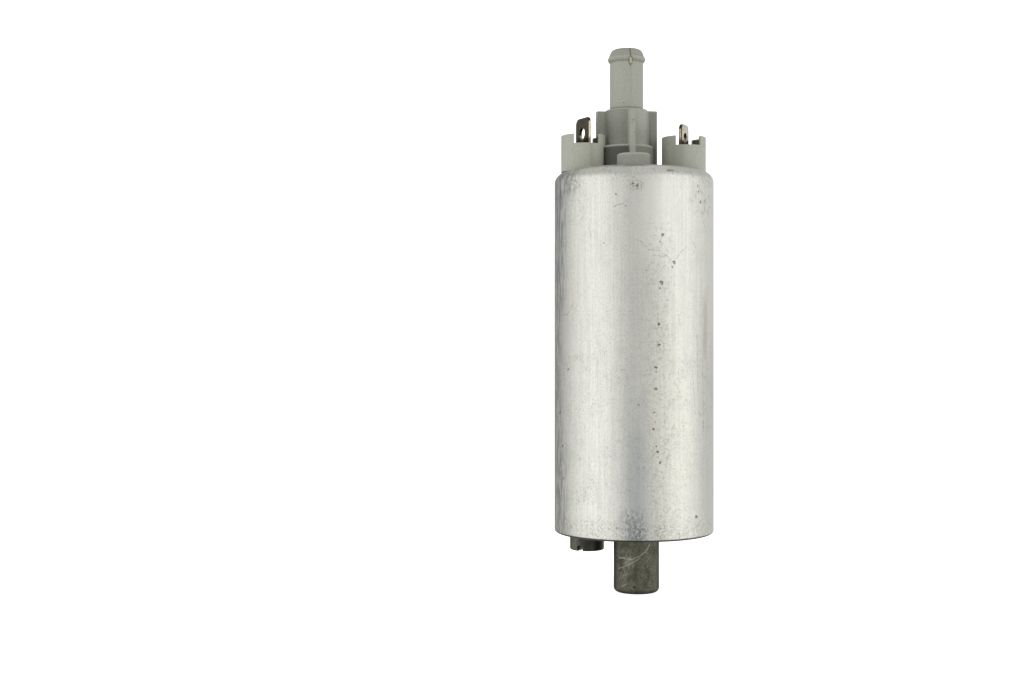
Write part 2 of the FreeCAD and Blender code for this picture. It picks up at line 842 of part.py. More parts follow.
def pressure_plate():
    """Plate above the rotors: delivery port, lower bearing hub and the coupling's recess."""
    locating_radius = flux_ring_bore - slip_gap
    hub_radius = lower_bearing_diameter / 2 + hub_wall
    bearing_low_z = lower_hub_top_z - lower_bearing_length
    plate = fused([
        cylinder(insert_radius, ring_top_z, plate_top_z),
        cylinder(locating_radius, ring_top_z, plate_top_z + lower_hub_rise / 2),
        cylinder(hub_radius, ring_top_z, lower_hub_top_z),
    ])
    hollows = [
        cylinder(lower_bearing_diameter / 2 + press_gap, bearing_low_z, lower_hub_top_z),
        cylinder(shaft_radius + 2 * running_gap, ring_top_z, lower_hub_top_z),
        cylinder(coupling_radius + coupling_clearance, ring_top_z, ring_top_z + coupling_recess),
        kidney(ring_top_z, lower_hub_top_z, 90),
    ]
    hollows += dowel_holes(ring_top_z, ring_top_z + dowel_depth)
    for hollow in hollows:
        plate = plate.cut(hollow)
    return plate.removeSplitter()


def drive_coupling():
    """Disc keyed to the shaft's flats, with pins that drive the inner rotor."""
    disc = cylinder(coupling_radius, coupling_low_z, coupling_top_z)
    pins = [turn(cylinder(coupling_pin_diameter / 2, coupling_low_z - coupling_pin_length, coupling_top_z,
                          coupling_pin_radius), 360 * n / coupling_pins) for n in range(coupling_pins)]
    hole = cylinder(shaft_radius + press_gap, coupling_low_z, coupling_top_z)
    hole = hole.common(box(2 * (shaft_flat + press_gap), shaft_diameter * 2, coupling_low_z, coupling_top_z))
    return fused([disc] + pins).cut(hole)


# Motor

def bearing(diameter, z_low, z_high):
    """Plain sintered bush with both bore edges chamfered."""
    radius = diameter / 2
    bore = bearing_bore_radius
    return turned(
        (bore + bearing_chamfer, z_low), (radius, z_low), (radius, z_high),
        (bore + bearing_chamfer, z_high), (bore, z_high - bearing_chamfer), (bore, z_low + bearing_chamfer),
    )


def upper_bearing():
    return bearing(upper_bearing_diameter, upper_hub_low_z, upper_hub_low_z + upper_bearing_length)


def lower_bearing():
    low_z = lower_hub_top_z - lower_bearing_length + press_gap
    return bearing(lower_bearing_diameter, low_z, lower_hub_top_z)


def shaft():
    """Motor shaft, with two flats where the coupling sits and chamfered ends."""
    low_z = cover_top_z + shaft_end_gap
    top_z = upper_hub_low_z + upper_bearing_length - end_float
    flat_top_z = coupling_top_z + press_gap
    pin = turned(
        (0, low_z), (shaft_radius - bearing_chamfer, low_z), (shaft_radius, low_z + bearing_chamfer),
        (shaft_radius, top_z - bearing_chamfer), (shaft_radius - bearing_chamfer, top_z), (0, top_z),
    )
    for side in (-1, 1):
        offset = side * (shaft_flat + shaft_radius)
        pin = pin.cut(box(2 * shaft_radius, 2 * shaft_diameter, low_z, flat_top_z, offset))
    return pin


def armature_core():
    """Lamination stack: hub, teeth and tooth tips."""
    tip_inner = core_radius - tooth_tip_depth
    gap_angle = math.degrees(math.asin(slot_mouth / 2 / core_radius))
    tip_half_angle = 180 / core_slots - gap_angle
    solids = [cylinder(core_hub_radius, core_low_z, core_top_z)]
    for n in range(core_slots):
        facing = 360 * n / core_slots
        tooth = box(tip_inner, tooth_width, core_low_z, core_top_z, tip_inner / 2 + edge_slope)
        solids.append(turn(tooth, facing))
        solids.append(sector(core_radius, tip_inner, tip_half_angle, core_low_z, core_top_z, facing))
    return fused(solids).cut(cylinder(shaft_radius, core_low_z, core_top_z))


def end_turns(low_radius, high_radius, z_low, z_high):
    """Bundle of wire beyond one end of the core. The end that is narrower has its edge sloped off."""
    middle_low = z_low + end_turn_chamfer if low_radius < high_radius else z_low
    middle_high = z_high - end_turn_chamfer if high_radius < low_radius else z_high
    return turned(
        (end_turn_bore, z_low), (low_radius, z_low), (end_turn_radius, middle_low),
        (end_turn_radius, middle_high), (high_radius, z_high), (end_turn_bore, z_high),
    )


def armature_winding():
    """Coated copper winding: slot fill between the teeth, and the end turns."""
    tip_inner = core_radius - tooth_tip_depth
    fill = tube(tip_inner, core_hub_radius, core_low_z, core_top_z)
    for n in range(core_slots):
        tooth = box(2 * core_radius, tooth_width, core_low_z, core_top_z, core_radius)
        fill = fill.cut(turn(tooth, 360 * n / core_slots))
    crown_radius = end_turn_radius - end_turn_chamfer
    upper = end_turns(end_turn_radius, crown_radius, core_top_z, core_top_z + end_turn_height)
    lower = end_turns(crown_radius, end_turn_radius, core_low_z - end_turn_height, core_low_z)
    return fused([fill, upper, lower])


def commutator_base():
    """Moulded carrier of the copper segments, with a hub on the shaft."""
    return turned(
        (shaft_radius, core_top_z + end_turn_height), (commutator_base_radius, core_top_z + end_turn_height),
        (commutator_base_radius, segment_low_z), (commutator_hub_radius, segment_low_z),
        (commutator_hub_radius, commutator_hub_top_z), (shaft_radius, commutator_hub_top_z),
    )


def commutator_segments():
    """Copper face segments, one for each slot, each with a tang for its wire."""
    ring = tube(segment_outer_radius, segment_inner_radius, segment_low_z, commutator_face_z)
    tang_top_z = segment_low_z + segment_height / 2
    slits = []
    tangs = []
    for n in range(core_slots):
        facing = 360 * n / core_slots
        slit = box(segment_outer_radius + segment_tang_reach, segment_gap, segment_low_z, commutator_face_z,
                   (segment_outer_radius + segment_tang_reach) / 2)
        slits.append(turn(slit, facing + 180 / core_slots))
        tang = box(segment_tang_reach + 1, segment_tang_width, segment_low_z, tang_top_z,
                   segment_outer_radius + (segment_tang_reach - 1) / 2)
        tangs.append(turn(tang, facing))
    segments = fused([ring] + tangs)
    for slit in slits:
        segments = segments.cut(slit)
    return segments


def shaft_spacer():
    """Sleeve between the lower end turns and the lower thrust washer."""
    return tube(spacer_radius, shaft_radius, lower_hub_top_z + end_float + thrust_washer_height,
                core_low_z - end_turn_height)


def lower_thrust_washer():
    low_z = lower_hub_top_z + end_float
    return tube(thrust_washer_radius, shaft_radius, low_z, low_z + thrust_washer_height)


def upper_thrust_washer():
    return tube(thrust_washer_radius, shaft_radius, commutator_hub_top_z, upper_hub_low_z - end_float)


def flux_ring():
    return tube(insert_radius, flux_ring_bore, plate_top_z, skirt_low_z)


def magnet(facing):
    """One arc magnet against the flux ring."""
    return sector(magnet_outer_radius, magnet_inner_radius, magnet_half_angle,
                  magnet_low_z, magnet_top_z, facing)


def magnet_clip(facing):
    """Bent sheet spring that pushes two magnets apart, lying against the flux ring."""
    low_z, high_z = magnet_low_z + clip_inset, magnet_top_z - clip_inset
    edge_gap = math.degrees(press_gap / magnet_inner_radius)
    half_angle = 90 - magnet_half_angle - edge_gap
    outer = magnet_outer_radius
    inner = outer - clip_thickness
    legs = []
    for side in (-1, 1):
        leg = sector(outer, outer - clip_depth, math.degrees(clip_thickness / outer) / 2, low_z, high_z,
                     side * (half_angle - math.degrees(clip_thickness / outer) / 2))
        legs.append(leg)
    clip = fused([sector(outer, inner, half_angle, low_z, high_z)] + legs)
    return turn(clip, facing)


# Brush gear. Each piece is drawn for the front brush, and half_turn 180 gives the back one.

def brush_tube(half_turn):
    """Folded brass guide around the brush, slotted for the shunt."""
    inner_x, inner_y = brush_tangential + 2 * running_gap, brush_radial + 2 * running_gap
    wall = 2 * brush_tube_wall
    z_low, z_high = brush_tube_low_z, brush_tube_top_z - press_gap
    sleeve = box(inner_x + wall, inner_y + wall, z_low, z_high, 0, -brush_radius)
    sleeve = sleeve.cut(box(inner_x, inner_y, z_low, z_high, 0, -brush_radius))
    sleeve = sleeve.cut(box(brush_tangential, shunt_slot_width, shunt_slot_low_z, z_high,
                            -brush_tangential, -brush_radius))
    return turn(sleeve, half_turn)


def brush(half_turn):
    return turn(box(brush_tangential, brush_radial, brush_low_z, brush_top_z, 0, -brush_radius), half_turn)


def brush_spring(half_turn):
    coil = spring(brush_spring_wire, brush_spring_diameter, brush_spring_turns,
                  brush_top_z + press_gap, spring_chamber_top_z - press_gap, 0, -brush_radius)
    return turn(coil, half_turn)


def choke_core(half_turn):
    """Ferrite rod of the suppression choke."""
    core = cylinder(choke_core_diameter / 2, choke_core_low_z, choke_core_top_z, choke_x, choke_y)
    return turn(core, half_turn)


def choke_lead_end():
    """Where the lower lead of the positive choke ends, and the front shunt begins."""
    return Vector(choke_x, choke_y - choke_coil_outer - choke_lead_reach, choke_coil_low_z + choke_wire / 2)


def tail_contact(half_turn):
    """Where the upper lead lies against the inner face of the terminal's tail."""
    angle = math.radians(90 - abs(negative_blade_angle if half_turn else positive_blade_angle))
    side = -1 if half_turn else 1
    reach = blade_thickness / 2 + choke_wire / 2 + press_gap
    z = choke_coil_top_z - choke_wire / 2
    return Vector(-well_x + reach * math.cos(angle), side * reach * math.sin(angle), z)


def choke_coil(half_turn):
    """Close winding as one sleeve, with a lead to the terminal tail and one to the shunt."""
    middle = (choke_coil_inner + choke_coil_outer) / 2
    sleeve = tube(choke_coil_outer, choke_coil_inner, choke_coil_low_z, choke_coil_top_z, choke_x, choke_y)
    contact = tail_contact(half_turn)
    outwards = (contact - Vector(choke_x, choke_y, contact.z)).normalize()
    upper = rod(Vector(choke_x, choke_y, contact.z) + outwards * middle, contact, choke_wire / 2)
    end = choke_lead_end()
    lower = rod(Vector(choke_x, choke_y - middle, end.z), end, choke_wire / 2)
    return turn(fused([sleeve, upper, lower]), half_turn)


def shunt(half_turn):
    """Flexible lead from the side of the brush to the choke's lower lead."""
    start = Vector(-brush_tangential / 2, -brush_radius, shunt_z)
    end = choke_lead_end() + Vector(0, -shunt_diameter / 2, 0)
    corner = Vector(end.x, -brush_radius, shunt_z)
    first, second = corner - start, end - corner
    turn_angle = first.getAngle(second)
    inset = 0.45 * min(first.Length, second.Length)
    bend_start = corner - first.normalize() * inset
    bend_end = corner + second.normalize() * inset
    radius = inset / math.tan(turn_angle / 2)
    centre_way = (second - first).normalize()
    middle = corner + centre_way * (math.hypot(radius, inset) - radius)
    path = Part.Wire([
        Part.LineSegment(start, bend_start).toShape(),
        Part.Arc(bend_start, middle, bend_end).toShape(),
        Part.LineSegment(bend_end, end).toShape(),
    ])
    section = Part.Wire(Part.makeCircle(shunt_diameter / 2, start, Vector(1, 0, 0)))
    return turn(path.makePipeShell([section], True, True), half_turn)


# Outlet check valve

def check_seat():
    """Ring pressed into the foot of the tower, with a coned seat."""
    radius = valve_chamber_radius - press_gap
    bore = check_seat_bore / 2
    return turned(
        (bore, deck_low_z), (radius, deck_low_z), (radius, check_seat_top_z),
        (bore + check_cone_drop, check_seat_top_z), (bore, check_seat_top_z - check_cone_drop),
        x=tower_x,
    )


def check_poppet():
    """Plug that rises off the seat, with a spigot that centres its spring."""
    radius = check_poppet_diameter / 2
    bore = check_seat_bore / 2
    return turned(
        (0, check_poppet_low_z - check_cone_drop), (bore, check_poppet_low_z - check_cone_drop),
        (bore + check_cone_drop, check_poppet_low_z), (radius, check_poppet_low_z),
        (radius, check_poppet_top_z), (check_spigot_diameter / 2, check_poppet_top_z),
        (check_spigot_diameter / 2, check_poppet_top_z + check_spigot_height),
        (0, check_poppet_top_z + check_spigot_height),
        x=tower_x,
    )


def check_spring():
    """Coil between the poppet and the shoulder under the hose tube."""
    diameter = check_spigot_diameter + 2 * (check_spring_wire + 2 * slip_gap)
    return spring(check_spring_wire, diameter, check_spring_turns,
                  check_poppet_top_z + press_gap, valve_chamber_top_z - press_gap, tower_x)


PIECES = {
    "can": can(),
    "outlet_cap": outlet_cap(),
    "terminal_positive": positive_blade(),
    "terminal_negative": negative_blade(),
    "inlet_cover": inlet_cover(),
    "cap_seal": cap_seal(),
    "cover_seal": cover_seal(),
    "stage_dowel_front": stage_dowel(-1),
    "stage_dowel_back": stage_dowel(1),
    "relief_cap": relief_cap(),
    "relief_spring": relief_spring(),
    "relief_ball": relief_ball(),
    "relief_seat": relief_seat(),
    "pump_ring": pump_ring(),
    "outer_rotor": outer_rotor(),
    "inner_rotor": inner_rotor(),
    "pressure_plate": pressure_plate(),
    "drive_coupling": drive_coupling(),
    "lower_bearing": lower_bearing(),
    "upper_bearing": upper_bearing(),
    "shaft": shaft(),
    "shaft_spacer": shaft_spacer(),
    "lower_thrust_washer": lower_thrust_washer(),
    "upper_thrust_washer": upper_thrust_washer(),
    "armature_core": armature_core(),
    "armature_winding": armature_winding(),
    "commutator_base": commutator_base(),
    "commutator_segments": commutator_segments(),
    "flux_ring": flux_ring(),
    "magnet_front": magnet(270),
    "magnet_back": magnet(90),
    "magnet_clip_left": magnet_clip(180),
    "magnet_clip_right": magnet_clip(0),
    "check_seat": check_seat(),
    "check_poppet": check_poppet(),
    "check_spring": check_spring(),
}
for name, half_turn in (("positive", 0), ("negative", 180)):
    PIECES["brush_" + name] = brush(half_turn)
    PIECES["brush_tube_" + name] = brush_tube(half_turn)
    PIECES["brush_spring_" + name] = brush_spring(half_turn)
    PIECES["brush_shunt_" + name] = shunt(half_turn)
    PIECES["choke_core_" + name] = choke_core(half_turn)
    PIECES["choke_coil_" + name] = choke_coil(half_turn)

os.makedirs("parts", exist_ok=True)
for name, shape in PIECES.items():
    shape.exportStep("parts/" + name + ".step")
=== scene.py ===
import json
import math

import bmesh
import bpy
from mathutils import Matrix, Vector, noise


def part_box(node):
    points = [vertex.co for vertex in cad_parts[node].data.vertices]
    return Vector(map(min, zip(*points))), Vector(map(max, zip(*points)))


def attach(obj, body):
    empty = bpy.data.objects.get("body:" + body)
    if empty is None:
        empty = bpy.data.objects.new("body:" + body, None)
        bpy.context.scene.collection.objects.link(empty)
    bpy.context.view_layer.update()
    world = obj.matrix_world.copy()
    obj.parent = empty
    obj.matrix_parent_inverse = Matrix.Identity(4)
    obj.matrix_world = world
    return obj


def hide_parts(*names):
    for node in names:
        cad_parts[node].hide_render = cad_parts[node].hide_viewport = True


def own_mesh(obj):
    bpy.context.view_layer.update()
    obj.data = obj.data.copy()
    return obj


bl_info = {
    "name": "Electric Fuel Pump",
    "version": (1, 0, 0),
    "blender": (4, 5, 0),
    "location": "3D View > Sidebar > Fuel Pump",
    "description": "Detailed outer pieces, finishes and studio for an electric fuel pump",
    "category": "Add Mesh",
}

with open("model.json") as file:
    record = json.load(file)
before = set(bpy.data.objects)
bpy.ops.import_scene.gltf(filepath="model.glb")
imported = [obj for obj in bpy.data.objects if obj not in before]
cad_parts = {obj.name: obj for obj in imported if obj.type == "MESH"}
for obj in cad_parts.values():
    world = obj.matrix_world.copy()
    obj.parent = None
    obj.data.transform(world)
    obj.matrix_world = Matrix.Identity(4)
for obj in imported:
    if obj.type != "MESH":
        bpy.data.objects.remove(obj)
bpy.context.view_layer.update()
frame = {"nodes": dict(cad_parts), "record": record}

# Sizes in this file are in millimetres, as in the CAD source, and each piece is brought to metres
# when its mesh is finished.
MM = 0.001
# Edges that turn by more than this many degrees stay sharp
CREASE = 32.0
HOUSING = "housing"
ORIGIN = (0.0, 0.0, 0.0)

CAN_LOW, CAN_HIGH = (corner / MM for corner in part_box("can"))
CAP_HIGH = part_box("outlet_cap")[1] / MM
COVER_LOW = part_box("inlet_cover")[0] / MM

CAN_RADIUS = CAN_HIGH.x
CAN_WALL = 1.2
RIM_ROLL = 2.6
BASE_CORNER = 0.8
BASE_LIP = 2.8
RIM_TOP = CAN_HIGH.z
BASE = CAN_LOW.z

TOWER_X = -1.75
DECK_TOP = RIM_TOP + 0.2
DECK_RADIUS = CAN_RADIUS - RIM_ROLL - 0.05
STEP_RING_RADIUS = 6.4
STEP_RING_TOP = DECK_TOP + 6.1
TOWER_BASE_RADIUS = 5.05
TOWER_BASE_TOP = DECK_TOP + 14.8
TUBE_RADIUS = 4.0
TUBE_BORE = 2.6
TUBE_TOP = CAP_HIGH.z
VALVE_BORE = 3.8
VALVE_ROOM_TOP = DECK_TOP + 11.0
RIB_REACH = 7.4
RIB_ROOT = 1.9
RIB_TIP = 1.3
BOSS = (-2.6, -12.2)
BOSS_RADIUS = 3.85
BOSS_TOP = DECK_TOP + 2.85
WELL_X = 12.25
WELL_RADIUS = 5.3
WELL_WALL = 1.15
WELL_TOP = DECK_TOP + 8.55
WELL_FLOOR = DECK_TOP + 0.6
NOTCH_DEPTH = 2.25
NOTCH_WIDTH = 5.9
BLADE_THICKNESS = 0.8
BLADE_EDGE = 0.17
SPIGOT_Y = -3.0
SPIGOT_RADIUS = 5.4
SPIGOT_BORE = 4.0
SPIGOT_ROUND = 1.1
COVER_FACE = BASE + 0.2
RELIEF = (-10.641, 4.021)
RELIEF_RADIUS = 4.125
RELIEF_HEIGHT = 4.8
RELIEF_SLOT_TURN = -35.0


# Mesh helpers

def arc(x, z, radius, start, end, parts=6):
    """Points of an arc in the plane of radius and height, with its angles in degrees."""
    angles = [math.radians(start + (end - start) * n / parts) for n in range(parts + 1)]
    return [(x + radius * math.cos(a), z + radius * math.sin(a)) for a in angles]


def tidy(bm):
    """One closed skin with its faces outwards."""
    bmesh.ops.remove_doubles(bm, verts=bm.verts, dist=1e-4)
    bmesh.ops.dissolve_degenerate(bm, dist=1e-4, edges=bm.edges)
    bmesh.ops.recalc_face_normals(bm, faces=bm.faces)
    return bm


def spun(line, steps, x=0.0, y=0.0, start=0.0, closed=False):
    """A line of (radius, height) points spun about the upright line through x, y."""
    bm = bmesh.new()
    turn = Matrix.Rotation(math.radians(start), 3, "Z")
    verts = [bm.verts.new(turn @ Vector((radius, 0, z)) + Vector((x, y, 0))) for radius, z in line]
    pairs = list(zip(verts, verts[1:]))
    if closed:
        pairs.append((verts[-1], verts[0]))
    edges = [bm.edges.new(pair) for pair in pairs]
    bmesh.ops.spin(bm, geom=verts + edges, cent=(x, y, 0), axis=(0, 0, 1), angle=2 * math.pi,
                   steps=steps, use_merge=True)
    return tidy(bm)


def block(size, place):
    """A plain block about its centre."""
    bm = bmesh.new()
    bmesh.ops.create_cube(bm, size=1.0, matrix=Matrix.Translation(place) @ Matrix.Diagonal((*size, 1.0)))
    return bm


def drum(radius, depth):
    """A plain round cutter, upright and about the origin."""
    bm = bmesh.new()
    bmesh.ops.create_cone(bm, cap_ends=True, segments=48, radius1=radius, radius2=radius, depth=depth)
    return bm


def placed(bm, turn, x=0.0, y=0.0):
    """Turns a mesh about the upright line by some degrees, then moves it to x, y."""
    matrix = Matrix.Rotation(math.radians(turn), 3, "Z")
    bmesh.ops.rotate(bm, verts=bm.verts, cent=(0, 0, 0), matrix=matrix)
    bmesh.ops.translate(bm, verts=bm.verts, vec=(x, y, 0))
    return bm


def soften(bm, width, angle=40.0, segments=2, chosen=lambda edge: True):
    """Rounds the edges that stick out by more than an angle."""
    sharp = [edge for edge in bm.edges if edge.is_manifold and edge.is_convex
             and edge.calc_face_angle(0) > math.radians(angle) and chosen(edge)]
    bmesh.ops.bevel(bm, geom=sharp, offset=width, offset_type="OFFSET", affect="EDGES",
                    segments=segments, profile=0.5, material=-1, clamp_overlap=True)
    return bm


def cad_copy(node):
    """A merged copy of a CAD node's mesh, in millimetres."""
    bm = bmesh.new()
    bm.from_mesh(frame["nodes"][node].data)
    bmesh.ops.scale(bm, vec=(1 / MM,) * 3, verts=bm.verts)
    bmesh.ops.remove_doubles(bm, verts=bm.verts, dist=1e-4)
    return bm


def cut_off(bm, height, keep_above):
    """Cuts a closed mesh at a height and closes the cut."""
    geometry = bm.verts[:] + bm.edges[:] + bm.faces[:]
    cut = bmesh.ops.bisect_plane(bm, geom=geometry, dist=1e-5, plane_co=(0, 0, height), plane_no=(0, 0, 1),
                                 clear_outer=not keep_above, clear_inner=keep_above)
    rim = [item for item in cut["geom_cut"] if isinstance(item, bmesh.types.BMEdge)]
    bmesh.ops.triangle_fill(bm, edges=rim, use_beauty=True, use_dissolve=False)
    return tidy(bm)


def as_object(bm, name):
    mesh = bpy.data.meshes.new(name)
    bm.to_mesh(mesh)
    bm.free()
    made = bpy.data.objects.new(name, mesh)
    bpy.context.scene.collection.objects.link(made)
    return made


def joined(base, tools):
    """The base with each (operation, mesh) applied in order as an exact Boolean."""
    body = as_object(base, "body")
    helpers = []
    for operation, tool in tools:
        helper = as_object(tool, "tool")
        change = body.modifiers.new("change", "BOOLEAN")
        change.operation = operation
        change.solver = "EXACT"
        change.object = helper
        helpers.append(helper)
    shape = body.evaluated_get(bpy.context.evaluated_depsgraph_get())
    bm = bmesh.new()
    bm.from_mesh(shape.to_mesh())
    shape.to_mesh_clear()
    for used in [body] + helpers:
        bpy.data.meshes.remove(used.data)
    return tidy(bm)


def finished(bm, name, materials, replaces=()):
    """The finished piece in metres: smooth faces, sharp creases, finish, body and slot."""
    bmesh.ops.scale(bm, vec=(MM, MM, MM), verts=bm.verts)
    piece = as_object(bm, name)
    piece.data.shade_smooth()
    piece.data.set_sharp_from_angle(angle=math.radians(CREASE))
    for material in materials:
        piece.data.materials.append(material)
    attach(piece, HOUSING)
    if replaces:
        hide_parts(*replaces)
    return piece


# Node helpers

class Graph:
    """Adds nodes to one tree and links them as they are made."""

    def __init__(self, tree):
        self.tree = tree

    def feed(self, socket, value):
        if isinstance(value, bpy.types.NodeSocket):
            self.tree.links.new(value, socket)
        elif socket.type == "RGBA":
            socket.default_value = (*value, 1.0)
        else:
            socket.default_value = value

    def add(self, kind, inputs, output=0, **settings):
        node = self.tree.nodes.new(kind)
        for key, value in settings.items():
            setattr(node, key, value)
        for key, value in inputs.items():
            self.feed(node.inputs[key], value)
        return node.outputs[output]

    def math(self, operation, a, b=0.0, third=0.0, clamp=False):
        return self.add("ShaderNodeMath", {0: a, 1: b, 2: third}, operation=operation, use_clamp=clamp)

    def vector(self, operation, a, b=ORIGIN, output=0):
        return self.add("ShaderNodeVectorMath", {0: a, 1: b}, output, operation=operation)

    def ramp(self, value, low, high, to_low=0.0, to_high=1.0):
        """A smooth step of value between low and high."""
        inputs = {"Value": value, "From Min": low, "From Max": high, "To Min": to_low, "To Max": to_high}
        return self.add("ShaderNodeMapRange", inputs, interpolation_type="SMOOTHSTEP")

    def times(self, a, b):
        return self.math("MULTIPLY", a, b)

    def plus(self, a, b):
        return self.math("ADD", a, b)

    def minus(self, a, b, clamp=False):
        return self.math("SUBTRACT", a, b, clamp=clamp)

    def over(self, a, b):
        return self.math("DIVIDE", a, b)

    def blend(self, share, a, b):
        """Colour b laid over colour a."""
        return self.add("ShaderNodeMix", {0: share, 6: a, 7: b}, 2, data_type="RGBA")

    def tint(self, tone, mask, share, laid):
        """A colour laid over another up to a share, where the mask is full."""
        return self.blend(self.times(mask, share), tone, laid)

    def fade(self, tone, value, low, high, share, laid):
        """A colour laid over another up to a share, as a value goes from low to high."""
        return self.blend(self.ramp(value, low, high, 0.0, share), tone, laid)

    def most(self, masks):
        """The largest of several masks, each joined in as soon as it is made."""
        masks = iter(masks)
        result = next(masks)
        for mask in masks:
            result = self.math("MAXIMUM", result, mask)
        return result

    def shaded(self, tone, mask, factor):
        """A colour made darker or lighter by a factor where the mask is full."""
        change = self.math("MULTIPLY_ADD", mask, factor - 1.0, third=1.0)
        return self.add("ShaderNodeVectorMath", {0: tone, "Scale": change}, operation="SCALE")

    def wobbled(self, size, reach):
        """Where a point lies, shifted a little by noise, so that marks get uneven edges."""
        inputs = {"Vector": self.place(), "Scale": 1.0 / size, "Detail": 2.0}
        shift = self.vector("SUBTRACT", self.add("ShaderNodeTexNoise", inputs, 1), (0.5, 0.5, 0.5))
        return self.vector("ADD", self.place(), self.vector("MULTIPLY", shift, (reach, reach, reach)))

    def place(self):
        """Where a point lies on its piece, in millimetres."""
        where = self.add("ShaderNodeTexCoord", {}, "Object")
        return self.vector("MULTIPLY", where, (1 / MM,) * 3)

    def effect(self, name, **values):
        """One of the shared effects, with its own values."""
        node = self.tree.nodes.new("ShaderNodeGroup")
        node.node_tree = effects()[name]
        for key, value in values.items():
            self.feed(node.inputs[key.replace("_", " ").title()], value)
        return node.outputs[0]

    def spots(self, where, rows, edge):
        """Soft round spots: centre and radius of each."""
        return self.most(self.effect("spot", where=where, centre=c, radius=r, edge=edge) for c, r in rows)

    def scratches(self, where, rows):
        """Fine scratches: both ends and the width of each."""
        return self.most(self.effect("scratch", where=where, **{"from": a, "to": b, "width": w})
                         for a, b, w in rows)

    def zone(self, bearing, half_width, edge, **limits):
        return self.effect("zone", bearing=bearing, half_width=half_width, edge=edge, **limits)

    def patches(self, size, level, edge, stretch):
        return self.effect("patches", size=size, level=level, edge=edge, stretch=stretch)

    def grain(self, size, stretch, detail=3.0):
        return self.effect("grain", size=size, stretch=stretch, detail=detail)

    def roughness(self, shader, value, low, high):
        """Feeds the shader's roughness with a value spread between two limits."""
        self.feed(shader["Roughness"], self.ramp(value, 0.2, 0.8, low, high))


def new_group(name, inputs):
    """An empty effect with named inputs and one output."""
    tree = bpy.data.node_groups.new(name, "ShaderNodeTree")
    for label, value in inputs.items():
        kind = "NodeSocketVector" if isinstance(value, tuple) else "NodeSocketFloat"
        tree.interface.new_socket(label, in_out="INPUT", socket_type=kind).default_value = value
    tree.interface.new_socket("Value", in_out="OUTPUT", socket_type="NodeSocketFloat")
    graph = Graph(tree)
    source = tree.nodes.new("NodeGroupInput")
    sink = tree.nodes.new("NodeGroupOutput")
    return tree, graph, source.outputs, sink.inputs[0]


def stretched(g, factor):
    """Where a point lies, with its height shrunk by a factor."""
    along = g.add("ShaderNodeCombineXYZ", {0: 1.0, 1: 1.0, 2: g.over(1.0, factor)})
    return g.vector("MULTIPLY", g.place(), along)


def grain_group():
    """Fine even noise of a given size in millimetres, stretched along Z by a factor."""
    tree, g, given, out = new_group("Grain", {"Size": 0.4, "Stretch": 1.0, "Detail": 2.0})
    where = stretched(g, given["Stretch"])
    scale = g.over(1.0, given["Size"])
    inputs = {"Vector": where, "Scale": scale, "Detail": given["Detail"], "Roughness": 0.55}
    g.feed(out, g.add("ShaderNodeTexNoise", inputs))
    return tree


def specks_group():
    """Scattered small round spots."""
    tree, g, given, out = new_group("Specks", {"Spacing": 2.0, "Size": 0.15, "Share": 0.3})
    scale = g.over(1.0, given["Spacing"])
    inputs = {"Vector": g.place(), "Scale": scale, "Randomness": 1.0}
    cells = g.tree.nodes.new("ShaderNodeTexVoronoi")
    for key, value in inputs.items():
        g.feed(cells.inputs[key], value)
    pick = g.add("ShaderNodeSeparateColor", {0: cells.outputs["Color"]})
    chosen = g.math("LESS_THAN", pick, given["Share"])
    distance = g.times(cells.outputs["Distance"], given["Spacing"])
    spot = g.ramp(distance, given["Size"], g.times(given["Size"], 0.4))
    g.feed(out, g.times(spot, chosen))
    return tree


def patches_group():
    """Broad soft-edged patches: a share of the surface, broken up by finer noise."""
    inputs = {"Size": 8.0, "Level": 0.55, "Edge": 0.1, "Stretch": 1.0}
    tree, g, given, out = new_group("Patches", inputs)
    inputs = {"Vector": stretched(g, given["Stretch"]), "Scale": g.over(1.0, given["Size"]),
              "Detail": 5.0, "Roughness": 0.65}
    broad = g.add("ShaderNodeTexNoise", inputs)
    high = g.plus(given["Level"], given["Edge"])
    g.feed(out, g.ramp(broad, g.minus(given["Level"], given["Edge"]), high))
    return tree


def spot_group():
    """One soft round spot about a centre."""
    inputs = {"Where": ORIGIN, "Centre": ORIGIN, "Radius": 1.0, "Edge": 0.5}
    tree, g, given, out = new_group("Spot", inputs)
    far = g.vector("LENGTH", g.vector("SUBTRACT", given["Where"], given["Centre"]), output="Value")
    edge = g.times(given["Radius"], g.minus(1.0, given["Edge"]))
    g.feed(out, g.ramp(far, given["Radius"], edge))
    return tree


def scratch_group():
    """A fine scratch between two points."""
    inputs = {"Where": ORIGIN, "From": ORIGIN, "To": (1.0, 0.0, 0.0), "Width": 0.12}
    tree, g, given, out = new_group("Scratch", inputs)
    along = g.vector("SUBTRACT", given["To"], given["From"])
    there = g.vector("SUBTRACT", given["Where"], given["From"])
    reach = g.vector("DOT_PRODUCT", there, along, "Value")
    whole = g.vector("DOT_PRODUCT", along, along, "Value")
    share = g.math("DIVIDE", reach, whole, clamp=True)
    nearest = g.add("ShaderNodeVectorMath", {0: along, "Scale": share}, operation="SCALE")
    far = g.vector("LENGTH", g.vector("SUBTRACT", there, nearest), output="Value")
    g.feed(out, g.ramp(far, given["Width"], g.times(given["Width"], 0.3)))
    return tree


def curls_group():
    """Short curled lines, as a brush or grit leaves them."""
    tree, g, given, out = new_group("Curls", {"Size": 1.2, "Width": 0.03})
    inputs = {"Vector": g.place(), "Scale": g.over(1.0, given["Size"]), "Detail": 1.5, "Distortion": 1.4}
    off = g.math("ABSOLUTE", g.minus(g.add("ShaderNodeTexNoise", inputs), 0.5))
    g.feed(out, g.ramp(off, given["Width"], g.times(given["Width"], 0.2)))
    return tree


